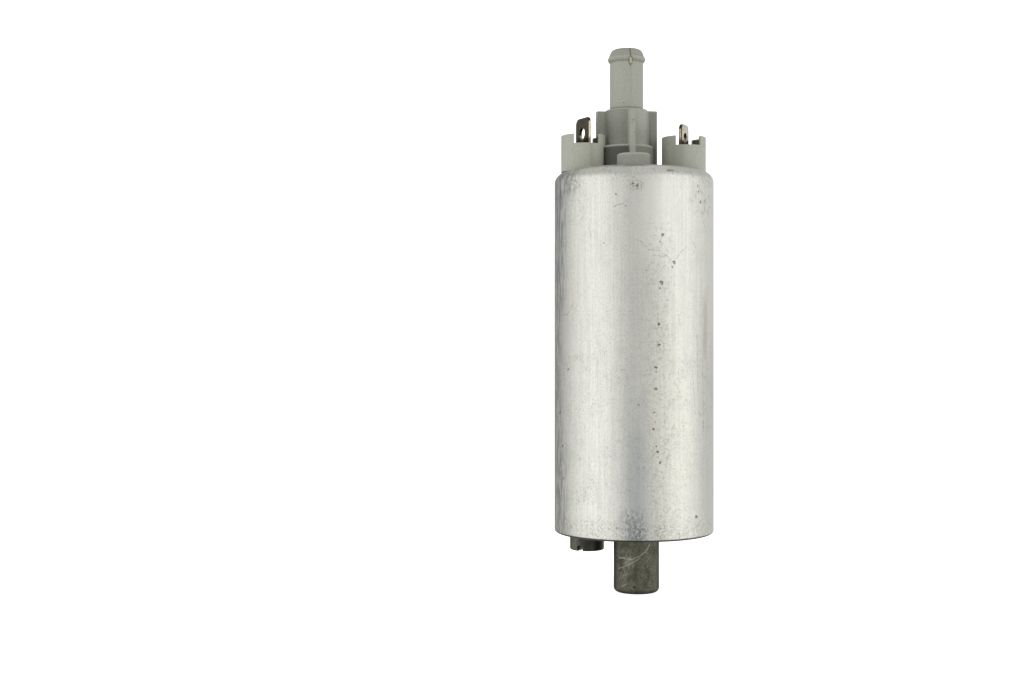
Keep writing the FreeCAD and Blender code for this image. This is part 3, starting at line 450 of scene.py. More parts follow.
def heights_group():
    """A soft band of heights above Low and below High."""
    tree, g, given, out = new_group("Heights", {"Low": 0.0, "High": 1.0, "Edge": 0.5})
    z = g.add("ShaderNodeSeparateXYZ", {0: g.place()}, 2)
    above = g.ramp(z, g.minus(given["Low"], given["Edge"]), g.plus(given["Low"], given["Edge"]))
    below = g.ramp(z, g.plus(given["High"], given["Edge"]), g.minus(given["High"], given["Edge"]))
    g.feed(out, g.times(above, below))
    return tree


def zone_group():
    """A soft zone about an upright axis: bearings from -Y towards +X, radii and heights."""
    inputs = {"Axis": ORIGIN, "Bearing": 0.0, "Half Width": 10.0, "Edge": 3.0,
              "Near": 0.0, "Far": 99.0, "Low": -99.0, "High": 99.0, "Soft": 0.3}
    tree, g, given, out = new_group("Zone", inputs)
    split = g.tree.nodes.new("ShaderNodeSeparateXYZ")
    g.feed(split.inputs[0], g.vector("SUBTRACT", g.place(), given["Axis"]))
    x, y, z = split.outputs
    angle = g.math("ARCTAN2", x, g.times(y, -1.0))
    off = g.math("ABSOLUTE", g.minus(g.math("DEGREES", angle), given["Bearing"]))
    outer = g.plus(given["Half Width"], given["Edge"])
    round_axis = g.ramp(off, outer, g.minus(given["Half Width"], given["Edge"]))
    far = g.vector("LENGTH", g.add("ShaderNodeCombineXYZ", {0: x, 1: y}), output="Value")
    ring = g.times(soft_step(g, far, given["Near"], 0.08), soft_step(g, given["Far"], far, 0.08))
    above = soft_step(g, z, given["Low"], given["Soft"])
    tall = g.times(above, soft_step(g, given["High"], z, given["Soft"]))
    g.feed(out, g.times(round_axis, g.times(ring, tall)))
    return tree


def soft_step(g, value, level, edge):
    """Full where a value lies above a level."""
    return g.ramp(g.over(g.minus(value, level), edge), -1.0, 1.0)


EFFECTS = {}


def effects():
    """The shared effects, made once."""
    if not EFFECTS:
        EFFECTS.update(grain=grain_group(), specks=specks_group(), patches=patches_group(),
                       spot=spot_group(), scratch=scratch_group(), curls=curls_group(),
                       heights=heights_group(), zone=zone_group())
    return EFFECTS


def new_material(name, metallic):
    """A material with its graph and its shader's inputs."""
    material = bpy.data.materials.new(name)
    material.use_nodes = True
    shader = material.node_tree.nodes["Principled BSDF"]
    shader.inputs["Metallic"].default_value = metallic
    return material, Graph(material.node_tree), shader.inputs


def bump(g, shader, height, strength, distance):
    """Feeds a height in millimetres to the shader's normal."""
    inputs = {"Height": height, "Strength": strength, "Distance": distance * MM}
    g.feed(shader["Normal"], g.add("ShaderNodeBump", inputs))


def on_can(bearing, height):
    """The point of the can's wall at a bearing in degrees from -Y towards +X."""
    angle = math.radians(bearing)
    return (CAN_RADIUS * math.sin(angle), -CAN_RADIUS * math.cos(angle), height)


# Marks of use on the can, and painted glints. Pits and bright spots: bearing, height, radius; the bright
# spots, and smaller spots beside the larger pits, are painted glints. Scratches: the bearing and height of
# both ends, width. Dents: bearing, height, reach, depth.
PITS = [
    (8.1, 26.8, 0.42), (6.4, 25.3, 0.2), (16.8, 20.6, 0.44), (15.4, 19.6, 0.2), (7.4, 16.0, 0.44),
    (6.2, 14.8, 0.26), (-3.3, 18.7, 0.2), (5.6, 6.6, 0.4), (5.6, 1.9, 0.34), (4.6, 2.6, 0.18),
    (3.4, -3.2, 0.36), (3.4, -4.2, 0.24), (3.4, -8.1, 0.34), (-8.7, -11.6, 0.22), (2.2, -13.4, 0.26),
    (1.7, -17.2, 0.3), (2.8, -15.6, 0.18), (3.8, -21.0, 0.26), (4.6, -22.3, 0.3), (6.3, -24.8, 0.26),
    (7.5, -27.0, 0.18), (-17.3, 33.4, 0.2), (37.4, -37.7, 0.4), (-65.1, -3.9, 0.3), (-77.1, -13.9, 0.4),
    (-72.8, -21.8, 0.34), (-71.2, -29.3, 0.3), (12.0, 12.0, 0.16), (20.0, -8.0, 0.15),
    (16.0, -17.0, 0.16), (-33.0, 25.0, 0.15), (42.0, 34.8, 0.3), (40.0, 37.2, 0.24), (-12.5, 38.4, 0.24),
    (-9.6, 38.0, 0.3), (-7.4, 38.7, 0.22), (-24.0, 36.2, 0.2),
]
SCRATCHES = [
    ((-26.0, 33.3), (-18.3, 34.0), 0.16), ((-12.2, 26.0), (-7.0, 25.3), 0.13),
    ((-7.0, 25.3), (-1.5, 23.4), 0.12), ((-1.5, 23.4), (6.0, 23.2), 0.12),
    ((6.0, 23.2), (11.5, 22.1), 0.12), ((11.5, 22.1), (14.5, 21.2), 0.12),
    ((17.4, 20.9), (22.1, 22.9), 0.12), ((22.1, 22.9), (27.3, 24.3), 0.12),
    ((-62.0, 40.4), (-55.0, 39.4), 0.2), ((-55.0, 39.4), (-51.4, 38.2), 0.16),
    ((33.2, 25.6), (36.3, 24.3), 0.13), ((36.3, 24.3), (34.5, 22.8), 0.12),
    ((45.5, 30.5), (50.5, 28.0), 0.14), ((-75.3, -36.0), (-67.7, -38.8), 0.16),
    ((-67.7, -38.8), (-60.4, -40.4), 0.14), ((-24.0, -39.6), (-4.0, -39.9), 0.2),
    ((-45.0, 30.0), (-43.0, 26.0), 0.11), ((-76.0, 8.7), (-66.0, 9.0), 0.15),
    ((-66.0, 9.0), (-59.0, 11.5), 0.13), ((33.0, -4.0), (36.0, -14.0), 0.12),
    ((38.0, 4.0), (39.0, -9.0), 0.13), ((45.0, -2.0), (46.0, -18.0), 0.14),
    ((20.4, 8.8), (21.8, 6.2), 0.12), ((-30.0, 41.6), (-12.0, 42.1), 0.12),
]
CAN_DENTS = [
    (-70.0, 39.0, 2.2, 0.06), (-62.0, 37.0, 1.6, 0.05), (38.0, 37.0, 2.0, 0.05), (-9.0, 38.0, 1.6, 0.04),
    (-10.0, -40.0, 2.2, 0.05), (37.4, -37.7, 0.8, 0.08), (15.6, 40.3, 1.2, 0.05),
]
BRIGHT_SPOTS = [(18.8, 4.0, 0.32), (23.0, 3.3, 0.32), (-52.0, 38.0, 0.3), (30.0, -20.0, 0.25)]

# Tarnish and scuffs on the can, with painted light: the first row is a painted highlight near the top, the
# second a painted reflection of the darker front on its lower part. Columns: bearing, half width, edge,
# low, high, soft edge of the heights, then size, level and stretch of the patches (size 0 for an even
# tint), share and colour
TARNISH_AND_PAINTED_LIGHT = [
    (2.0, 13.0, 9.0, 22.0, 43.0, 7.0, 0, 0, 0, 0.55, (1.0, 0.99, 0.92)),
    (-10.0, 7.0, 8.0, -46.0, -16.0, 12.0, 0, 0, 0, 0.46, (0.38, 0.43, 0.47)),
    (54.0, 17.0, 12.0, -46.0, 4.0, 14.0, 0, 0, 0, 0.36, (0.47, 0.46, 0.44)),
    (14.0, 12.0, 9.0, -46.0, 8.0, 8.0, 0, 0, 0, 0.2, (0.72, 0.70, 0.56)),
    (7.0, 9.0, 5.0, -43.0, 30.0, 4.0, 0.9, 0.58, 1.0, 0.45, (0.42, 0.39, 0.29)),
    (48.5, 3.2, 3.5, -1.0, 12.5, 3.0, 2.2, 0.42, 2.0, 0.6, (0.52, 0.44, 0.38)),
    (-84.0, 9.0, 5.0, -43.0, 44.0, 1.0, 0.8, 0.5, 6.0, 0.6, (0.25, 0.28, 0.30)),
    (-76.0, 8.0, 6.0, 12.0, 44.0, 4.0, 0.8, 0.5, 6.0, 0.6, (0.28, 0.31, 0.33)),
    (-74.0, 8.0, 6.0, -44.0, -20.0, 6.0, 0.8, 0.5, 6.0, 0.55, (0.32, 0.33, 0.32)),
    (-68.0, 13.0, 8.0, 36.5, 44.0, 2.0, 1.1, 0.5, 1.6, 0.6, (0.2, 0.21, 0.21)),
    (-60.0, 14.0, 6.0, 30.0, 37.0, 2.0, 0.7, 0.6, 1.6, 0.5, (0.34, 0.35, 0.34)),
    (-5.0, 65.0, 10.0, 39.0, 44.0, 1.0, 0.7, 0.6, 0.6, 0.5, (0.34, 0.34, 0.32)),
    (-10.0, 5.0, 2.0, 37.0, 39.2, 0.5, 0.4, 0.53, 1.2, 0.6, (0.24, 0.24, 0.20)),
    (14.5, 2.8, 1.2, 41.35, 41.75, 0.15, 0.8, 0.4, 0.4, 0.7, (0.16, 0.16, 0.14)),
    (46.0, 15.0, 5.0, 32.0, 40.5, 1.5, 0.9, 0.58, 1.6, 0.55, (0.3, 0.28, 0.24)),
    (-12.0, 8.0, 5.0, -43.0, -35.5, 1.5, 0.5, 0.52, 2.0, 0.65, (0.22, 0.24, 0.26)),
    (-9.0, 5.0, 3.0, -43.0, -38.5, 1.0, 0.45, 0.54, 1.0, 0.7, (0.11, 0.11, 0.10)),
    (7.0, 4.0, 2.0, -43.0, -39.5, 0.6, 0.4, 0.56, 1.0, 0.65, (0.15, 0.14, 0.12)),
    (-12.0, 75.0, 10.0, -44.0, -38.5, 1.5, 0.5, 0.56, 1.0, 0.5, (0.32, 0.31, 0.28)),
]


def can_metal(settings):
    """Plated steel: drawn streaks, fine mottling, tarnish, grit curls, pits, scratches; painted light and
    shade.
    """
    material, g, shader = new_material("can_metal", 1.0)
    where = g.wobbled(0.5, 0.75)
    streaks = g.grain(0.42, 50.0)
    mottle = g.grain(0.36, 1.3)
    lumps = g.grain(2.4, 2.0)
    lower = g.effect("heights", low=-60.0, high=8.0, edge=16.0)
    curls = g.times(g.effect("curls", size=1.5, width=0.03), g.patches(5.0, 0.5, 0.1, 1.0))
    flecks = g.effect("specks", spacing=1.0, size=0.2, share=0.16)
    specks = g.effect("specks", spacing=2.3, size=0.24, share=0.22)
    deep = g.spots(where, [(on_can(b, z), r * 1.25) for b, z, r in PITS], 0.45)
    # Painted glints: the bright spots, and smaller spots beside the larger pits
    bright = BRIGHT_SPOTS + [(b, z, r * 0.55) for b, z, r in PITS if r > 0.4]
    painted_glints = g.spots(where, [(on_can(b - 0.3, z - 0.05), r) for b, z, r in bright], 0.7)
    lines = g.scratches(where, [(on_can(*a), on_can(*b), w) for a, b, w in SCRATCHES])

    tone = g.fade(settings.colour, streaks, 0.35, 0.68, 0.42, (0.66, 0.66, 0.61))
    tone = g.fade(tone, mottle, 0.48, 0.7, 0.42, (0.56, 0.56, 0.51))
    tone = g.fade(tone, mottle, 0.46, 0.3, 0.3, (0.92, 0.92, 0.86))
    tone = g.fade(tone, lumps, 0.42, 0.66, 0.2, (0.58, 0.59, 0.56))
    # Tints from the table: tarnish and scuffs, with a painted highlight and a painted reflection
    for bearing, half, edge, low, high, soft, size, level, stretch, share, tint_colour in TARNISH_AND_PAINTED_LIGHT:
        mask = g.zone(bearing, half, edge, low=low, high=high, soft=soft)
        if size:
            broken = g.patches(size, level, 0.09, stretch)
            mask = g.times(mask, broken)
        tone = g.tint(tone, mask, share, tint_colour)
    tone = g.tint(tone, curls, g.math("MULTIPLY_ADD", lower, 0.3, third=0.08), (0.30, 0.30, 0.26))
    tone = g.tint(tone, flecks, g.math("MULTIPLY_ADD", lower, 0.3, third=0.12), (0.33, 0.32, 0.27))
    tone = g.tint(tone, specks, 0.35, (0.30, 0.29, 0.24))
    tone = g.tint(tone, lines, 0.6, (0.26, 0.26, 0.23))
    tone = g.tint(tone, deep, 0.85, (0.17, 0.15, 0.11))
    tone = g.tint(tone, painted_glints, 0.75, (0.92, 0.90, 0.80))
    # Painted shade: a dark line along the can's rounded bottom edge
    foot = g.effect("heights", low=-44.0, high=BASE + 0.5, edge=0.14)
    g.feed(shader["Base Color"], g.shaded(tone, foot, 0.12))

    rough = g.ramp(streaks, 0.2, 0.8, settings.roughness - 0.04, settings.roughness + 0.06)
    g.feed(shader["Roughness"], g.plus(rough, g.times(deep, 0.2)))
    height = g.plus(g.times(streaks, 0.4), g.times(mottle, 0.9))
    height = g.plus(height, g.times(lumps, 1.2))
    height = g.minus(height, g.times(g.times(curls, lower), 0.6))
    bump(g, shader, height, 0.5, 0.035)
    return material


TOWER = (TOWER_X, 0.0, 0.0)
WELLS = ((-WELL_X, 0.0, 0.0), (WELL_X, 0.0, 0.0))

# A height below the deck, from which shades reach up
SUNK = 42.0

# Painted shade and painted light on the cap: shade in corners, under the bead and on upward faces, light
# on
# the wells and along edges. Columns: axis, bearing, half width, edge, nearest and farthest radius, low,
# high, soft edge and factor, below 1 for painted shade and above 1 for painted light
CAP_PAINTED_LIGHT_AND_SHADE = [
    (TOWER, -48, 44, 8, 5.5, 6.9, SUNK, STEP_RING_TOP - 0.5, 0.25, 0.22),
    (TOWER, 46, 40, 10, 5.5, 6.9, SUNK, STEP_RING_TOP - 0.5, 0.25, 0.52),
    (TOWER, -48, 40, 7, 4.5, 5.4, STEP_RING_TOP, TOWER_BASE_TOP - 0.3, 0.2, 0.72),
    (TOWER, -48, 40, 7, 4.5, 5.9, STEP_RING_TOP - 0.2, STEP_RING_TOP + 5.0, 3.0, 0.78),
    (TOWER, 48, 38, 7, 4.5, 5.9, STEP_RING_TOP - 0.2, STEP_RING_TOP + 4.0, 3.0, 0.74),
    (TOWER, -90, 16, 3, 5.3, 7.15, SUNK, TOWER_BASE_TOP - 0.35, 0.15, 0.72),
    (TOWER, 90, 16, 3, 5.3, 7.15, SUNK, TOWER_BASE_TOP - 0.35, 0.15, 0.64),
    (TOWER, 90, 20, 3, 5.3, 7.6, SUNK, STEP_RING_TOP + 1.5, 1.5, 0.6),
    ((BOSS[0], BOSS[1], 0.0), -12, 100, 20, 3.4, 4.2, SUNK, BOSS_TOP - 0.5, 0.25, 0.72),
    (WELLS[0], 0, 180, 1, 4.2, 5.6, SUNK, WELL_TOP + 0.2, 0.1, 1.14),
    (WELLS[1], 0, 180, 1, 4.2, 5.6, SUNK, WELL_TOP + 0.2, 0.1, 1.14),
    (WELLS[0], 60, 30, 20, 4.2, 5.6, SUNK, WELL_TOP, 1.0, 1.18),
    (WELLS[0], 12, 4, 6, 4.2, 5.6, SUNK, WELL_TOP, 1.0, 0.86),
    (WELLS[1], -30, 16, 10, 4.2, 5.6, SUNK, WELL_TOP, 1.0, 0.84),
    (TOWER, 0, 180, 1, 2.7, 4.45, TUBE_TOP - 1.95, TUBE_TOP + 1.0, 0.15, 0.86),
    (TOWER, 0, 180, 1, 4.2, 4.6, TUBE_TOP - 2.95, TUBE_TOP - 2.5, 0.12, 0.84),
    (WELLS[1], 0, 180, 1, 3.9, 5.6, WELL_TOP - 0.28, WELL_TOP + 1.0, 0.12, 1.15),
    (WELLS[0], 0, 180, 1, 3.9, 5.6, WELL_TOP - 0.28, WELL_TOP + 1.0, 0.12, 1.12),
    (TOWER, 0, 180, 1, 3.9, 4.35, TOWER_BASE_TOP + 0.05, TOWER_BASE_TOP + 0.4, 0.1, 0.62),
    (TOWER, 0, 180, 1, 5.0, 6.3, STEP_RING_TOP - 0.4, STEP_RING_TOP + 0.3, 0.1, 1.1),
    (TOWER, 0, 180, 1, 3.9, 4.6, TUBE_TOP - 3.35, TUBE_TOP - 2.95, 0.12, 0.66),
]
# Grime spots on the cap: place and radius
CAP_STAINS = [
    ((0.4, -15.9, 45.4), 0.34), ((-13.0, -5.3, 49.8), 0.2), ((-8.0, -4.6, 46.8), 0.18),
    ((-3.2, -3.6, 59.2), 0.2), ((1.9, -4.2, 56.5), 0.22), ((14.0, -5.2, 47.6), 0.2),
    ((-1.6, -7.4, 54.6), 0.2), ((-1.4, -7.4, 51.6), 0.16), ((-5.9, -2.8, 55.9), 0.2),
    ((-5.4, -3.2, 53.4), 0.16), ((2.3, -3.0, 52.4), 0.2), ((2.6, -2.8, 50.6), 0.2),
    ((10.2, -4.8, 50.2), 0.16), ((16.4, -3.3, 49.3), 0.18), ((-16.0, -3.6, 48.0), 0.14),
    ((4.6, -0.9, 54.2), 0.16),
]


def cap_plastic(settings):
    """Grey-green moulding: flow marks, pores, a brown seam on the tube's front, painted light and shade.
    """
    material, g, shader = new_material("cap_plastic", 0.0)
    shader["Specular IOR Level"].default_value = 0.4
    where = g.wobbled(0.8, 0.3)
    fine = g.grain(0.3, 1.0)
    broad = g.patches(4.0, 0.5, 0.2, 2.0)
    pores = g.effect("specks", spacing=1.3, size=0.16, share=0.2)
    stains = g.spots(where, [(centre, r * 1.2) for centre, r in CAP_STAINS], 0.6)
    seam = g.zone(1.0, 2.5, 1.4, axis=TOWER, low=TUBE_TOP - 4.5, soft=0.3)
    seam = g.times(seam, g.ramp(fine, 0.3, 0.48))
    nibs = [(TOWER_X + 0.12, -4.4, TUBE_TOP - drop) for drop in (2.9, 3.3, 3.7)]
    core = g.spots(where, [(centre, 0.42) for centre in nibs], 0.5)
    ring = g.spots(where, [(centre, 0.75) for centre in nibs], 0.4)
    ring = g.minus(ring, core, clamp=True)
    flow = g.zone(2.0, 4.0, 3.0, axis=TOWER, low=TOWER_BASE_TOP, high=TUBE_TOP - 4.0, soft=0.6)
    # Painted shade inside both wells: their walls and floors turn dark brown
    painted_well_shade = [g.zone(0.0, 180.0, 1.0, axis=axis, far=WELL_RADIUS - 0.95, low=WELL_FLOOR - 2.0,
                    high=WELL_TOP - 0.2, soft=0.2) for axis in WELLS]
    tone = g.blend(g.times(broad, 0.35), settings.colour, settings.pale_colour)
    tone = g.fade(tone, fine, 0.42, 0.66, 0.45, (0.36, 0.365, 0.30))
    tone = g.tint(tone, flow, 0.25, (0.38, 0.385, 0.30))
    # Painted shade and painted light from the table
    for axis, bearing, half, edge, near, far, low, high, soft, factor in CAP_PAINTED_LIGHT_AND_SHADE:
        mask = g.zone(bearing, half, edge, axis=axis, near=near, far=far, low=low, high=high, soft=soft)
        tone = g.shaded(tone, mask, factor)
    tone = g.tint(tone, g.math("MAXIMUM", pores, stains), 0.75, (0.10, 0.095, 0.075))
    tone = g.tint(tone, g.math("MAXIMUM", seam, g.times(ring, 0.75)), 0.85, (0.15, 0.12, 0.055))
    tone = g.tint(tone, core, 0.9, (0.60, 0.57, 0.42))
    # Painted shade inside the wells
    tone = g.tint(tone, g.most(painted_well_shade), 0.95, (0.08, 0.064, 0.028))
    g.feed(shader["Base Color"], tone)
    g.roughness(shader, fine, 0.42, 0.56)
    height = g.minus(fine, g.times(g.math("MAXIMUM", pores, seam), 2.0))
    bump(g, shader, height, 0.4, 0.035)
    return material


def blade_metal(name, base, pale, rough):
    """Tinned and tarnished terminal metal, darker at its foot."""
    material, g, shader = new_material(name, 1.0)
    fine = g.grain(0.25, 4.0)
    film = g.patches(2.2, 0.5, 0.16, 1.0)
    foot = g.effect("heights", low=40.0, high=50.9, edge=0.35)
    tone = g.blend(g.times(film, 0.5), base, pale)
    tone = g.fade(tone, fine, 0.45, 0.7, 0.35, (0.07, 0.06, 0.04))
    tone = g.tint(tone, foot, 0.75, (0.11, 0.085, 0.035))
    g.feed(shader["Base Color"], tone)
    g.roughness(shader, fine, rough - 0.06, rough + 0.08)
    bump(g, shader, fine, 0.25, 0.02)
    return material


def cast_metal(settings):
    """Dull die casting of the inlet spigot: rough skin, rubbed patches, curved scratches, painted sheen
    and shade.
    """
    material, g, shader = new_material("cover_casting", 0.55)
    shader["Specular IOR Level"].default_value = 0.2
    where = g.wobbled(1.6, 0.5)
    fine = g.grain(0.32, 1.0, 4.0)
    rubbed = g.patches(2.0, 0.54, 0.09, 1.4)
    dark = g.patches(2.6, 0.57, 0.08, 1.6)
    # Painted sheen: a highlight over the rubbed patches on the spigot's front-left
    sheen = g.zone(-32.0, 26.0, 14.0, axis=SPIGOT_AXIS, low=-51.5, high=-47.0, soft=1.2)
    lines = g.scratches(where, SPIGOT_SCRATCHES)
    pit = g.effect("spot", where=where, centre=(-1.6, -8.25, -54.9), radius=0.42, edge=0.5)
    # Painted shade along the spigot's rounded end
    rim = g.effect("heights", low=-58.0, high=-55.8, edge=0.5)
    # Painted shade down both sides of the spigot
    edges = g.math("MAXIMUM", g.zone(-98.0, 24.0, 10.0, axis=SPIGOT_AXIS),
                   g.zone(76.0, 22.0, 10.0, axis=SPIGOT_AXIS))
    tone = g.fade(settings.colour, fine, 0.44, 0.64, 0.75, (0.06, 0.057, 0.04))
    tone = g.tint(tone, g.times(rubbed, sheen), 0.6, (0.33, 0.325, 0.265))
    tone = g.tint(tone, rubbed, 0.3, (0.25, 0.245, 0.195))
    tone = g.tint(tone, dark, 0.65, (0.05, 0.048, 0.035))
    tone = g.tint(tone, lines, 0.6, (0.46, 0.45, 0.38))
    # Painted shade at the end and sides, with a real pit
    tone = g.tint(tone, g.most([rim, pit, edges]), 0.85, (0.025, 0.025, 0.018))
    g.feed(shader["Base Color"], tone)
    g.roughness(shader, fine, 0.44, 0.64)
    height = g.minus(fine, g.times(lines, 0.8))
    bump(g, shader, height, 0.6, 0.05)
    return material


SPIGOT_AXIS = (0.0, SPIGOT_Y, 0.0)
# Scratches on the spigot: both ends and width
SPIGOT_SCRATCHES = [
    ((2.2, -7.9, -44.8), (1.2, -8.3, -46.4), 0.22), ((1.2, -8.3, -46.4), (-0.3, -8.4, -47.5), 0.2),
    ((-0.3, -8.4, -47.5), (-1.9, -8.1, -48.2), 0.16), ((-1.9, -8.1, -48.2), (-3.2, -7.4, -48.4), 0.3),
    ((-0.4, -8.4, -48.0), (-1.9, -8.1, -49.0), 0.18), ((-1.9, -8.1, -49.0), (-3.6, -7.1, -50.0), 0.18),
    ((-3.6, -7.1, -50.0), (-4.9, -5.3, -50.9), 0.14), ((-4.7, -5.6, -48.1), (-3.6, -7.1, -48.2), 0.34),
    ((-3.0, -7.5, -51.7), (-4.2, -6.4, -52.6), 0.12), ((-4.2, -6.4, -52.6), (-5.0, -5.1, -53.5), 0.14),
    ((-4.3, -6.3, -54.9), (-3.4, -7.2, -54.2), 0.16), ((2.2, -7.9, -47.6), (1.2, -8.3, -49.2), 0.1),
]


def relief_metal():
    """Dark, dull steel of the slotted relief valve cap, with painted shade on its front and in its slot.
    """
    material, g, shader = new_material("relief_metal", 0.8)
    fine = g.grain(0.3, 1.0)
    rubbed = g.patches(2.0, 0.55, 0.15, 1.0)
    tone = g.blend(g.times(rubbed, 0.5), (0.15, 0.147, 0.115), (0.24, 0.235, 0.19))
    tone = g.fade(tone, fine, 0.45, 0.7, 0.5, (0.07, 0.068, 0.05))
    axis = (*RELIEF, 0.0)
    # Painted shade over the cap's front and right side, under the can
    tone = g.shaded(tone, g.zone(8.0, 52.0, 14.0, axis=axis), 0.34)
    # Painted shade in the slot
    slot = g.zone(RELIEF_SLOT_TURN, 15.0, 1.0, axis=axis, far=RELIEF_RADIUS - 0.15,
                  high=COVER_FACE - RELIEF_HEIGHT + 1.4, soft=0.1)
    g.feed(shader["Base Color"], g.shaded(tone, slot, 0.25))
    g.roughness(shader, fine, 0.36, 0.56)
    bump(g, shader, fine, 0.4, 0.03)
    return material


# Finishes of the inner pieces: colour, darker tone, metallic, roughness, grain size and grain stretch
INNER_FINISHES = {
    "ground_steel": ((0.62, 0.62, 0.63), (0.46, 0.46, 0.48), 1.0, 0.24, 0.25, 6.0),
    "plain_steel": ((0.42, 0.42, 0.43), (0.30, 0.29, 0.28), 1.0, 0.40, 0.5, 8.0),
    "spring_steel": ((0.56, 0.56, 0.57), (0.40, 0.40, 0.41), 1.0, 0.28, 0.2, 1.0),
    "sintered_iron": ((0.33, 0.33, 0.33), (0.20, 0.20, 0.20), 0.9, 0.48, 0.2, 1.0),
    "plate_casting": ((0.60, 0.60, 0.59), (0.46, 0.46, 0.45), 0.9, 0.42, 0.4, 1.0),
    "bronze": ((0.60, 0.42, 0.22), (0.42, 0.27, 0.12), 0.9, 0.44, 0.2, 1.0),
    "lamination_steel": ((0.36, 0.35, 0.34), (0.16, 0.15, 0.14), 0.9, 0.46, 0.5, 0.12),
    "enamelled_wire": ((0.52, 0.20, 0.08), (0.34, 0.11, 0.04), 0.6, 0.30, 0.35, 7.0),
    "copper": ((0.80, 0.45, 0.29), (0.50, 0.25, 0.14), 1.0, 0.30, 0.3, 1.0),
    "tinned_braid": ((0.70, 0.45, 0.32), (0.34, 0.20, 0.13), 0.9, 0.45, 0.12, 1.0),
    "brush_brass": ((0.72, 0.58, 0.30), (0.50, 0.37, 0.17), 1.0, 0.34, 0.4, 5.0),
    "carbon": ((0.075, 0.075, 0.08), (0.03, 0.03, 0.03), 0.1, 0.55, 0.2, 1.0),
    "ferrite": ((0.12, 0.12, 0.13), (0.07, 0.07, 0.07), 0.0, 0.50, 0.3, 1.0),
    "dark_moulding": ((0.10, 0.075, 0.05), (0.06, 0.045, 0.03), 0.0, 0.45, 0.4, 1.0),
    "pale_moulding": ((0.80, 0.77, 0.68), (0.66, 0.62, 0.52), 0.0, 0.45, 0.4, 1.0),
    "seal_rubber": ((0.035, 0.035, 0.035), (0.02, 0.02, 0.02), 0.0, 0.62, 0.3, 1.0),
}


def inner_material(slot):
    """A finish of one of the hidden pieces, from its row in the table."""
    bright, dark, metallic, rough, size, stretch = INNER_FINISHES[slot]
    material, g, shader = new_material(slot, metallic)
    fine = g.grain(size, stretch)
    wear = g.patches(4.0, 0.55, 0.15, 1.0)
    share = g.math("MAXIMUM", g.ramp(fine, 0.35, 0.7, 0.0, 0.6), g.times(wear, 0.7))
    g.feed(shader["Base Color"], g.blend(share, bright, dark))
    g.roughness(shader, fine, rough - 0.05, rough + 0.08)
    bump(g, shader, fine, 0.3, 0.03)
    return material


# Pieces

def pressed(depth, place, dents):
    """A depth at a place with that of the dents added: centre, reach and depth of each."""
    for centre, reach, sink in dents:
        share = (place - centre).length / reach
        if share < 1.0:
            depth += sink * (1.0 - share * share) ** 2
    return depth


def can_mesh(settings):
    """The rolled shell as one spun wall, with faint waves and shallow dents pressed into it."""
    roll_z = RIM_TOP - RIM_ROLL
    opening = CAN_RADIUS - RIM_ROLL
    corner = CAN_RADIUS - BASE_CORNER
    bore = CAN_RADIUS - CAN_WALL
    wall_low, rows = BASE + BASE_CORNER, 150
    wall = [(CAN_RADIUS, wall_low + (roll_z - wall_low) * n / rows) for n in range(1, rows)]
    lip = CAN_RADIUS - BASE_LIP
    line = [(lip, BASE + 0.12), (lip + 0.12, BASE), (corner - 1.0, BASE)]
    line += arc(corner, BASE + BASE_CORNER, BASE_CORNER, -90, 0, 6) + wall
    line += arc(opening, roll_z, RIM_ROLL, 0, 84, 12)
    line += arc(opening + 0.1, RIM_TOP - 0.1, 0.1, 80, 180, 3)
    line += [(opening, RIM_TOP - CAN_WALL)] + arc(opening, roll_z, RIM_ROLL - CAN_WALL, 90, 0, 6)
    line += [(bore, BASE + CAN_WALL), (lip, BASE + CAN_WALL)]
    bm = spun(line, settings.segments, closed=True)
    dents = [(Vector(on_can(b, z)), reach, depth) for b, z, reach, depth in CAN_DENTS]
    for vert in bm.verts:
        out = Vector((vert.co.x, vert.co.y, 0.0))
        if out.length < bore + 0.2 or vert.co.z < BASE + 0.1:
            continue
        wave = noise.noise(Vector((vert.co.x, vert.co.y, vert.co.z * 0.35)) * 0.16)
        depth = settings.wave / MM * (1.0 - wave) / 2
        vert.co -= out.normalized() * pressed(depth, vert.co, dents)
    return bm


def well_ring(side):
    """One round terminal well with its floor, before its notch is cut."""
    outer, inner = WELL_RADIUS, WELL_RADIUS - WELL_WALL
    low, edge = RIM_TOP + 0.05, 0.12
    line = [(0.0, low), (outer, low), (outer, WELL_TOP - edge)]
    line += arc(outer - edge, WELL_TOP - edge, edge, 0, 90, 2)
    line += arc(inner + edge, WELL_TOP - edge, edge, 90, 180, 2)
    line += [(inner, WELL_FLOOR), (0.0, WELL_FLOOR)]
    ring = spun(line, 96, x=side * WELL_X, start=1.875)
    notch = block((NOTCH_WIDTH, 3 * WELL_RADIUS, 4.0), (side * WELL_X, 0.0, WELL_TOP - NOTCH_DEPTH + 2.0))
    ring = joined(ring, [("DIFFERENCE", notch)])
    on_notch = lambda edge: min(v.co.z for v in edge.verts) > WELL_TOP - NOTCH_DEPTH - 0.2
    return soften(ring, 0.1, angle=50, chosen=on_notch)


# The tube's head, from the back of the bead to the tip: radius and depth below the tip
HEAD_PROFILE = [
    (4.0, 3.3), (4.05, 3.14), (4.26, 2.98), (4.42, 2.74), (4.5, 2.42), (4.47, 2.14), (4.36, 1.94),
    (4.24, 1.82), (4.16, 1.6), (4.04, 1.2), (3.88, 0.82), (3.68, 0.48), (3.42, 0.2), (3.1, 0.04),
    (2.98, 0.0),
]


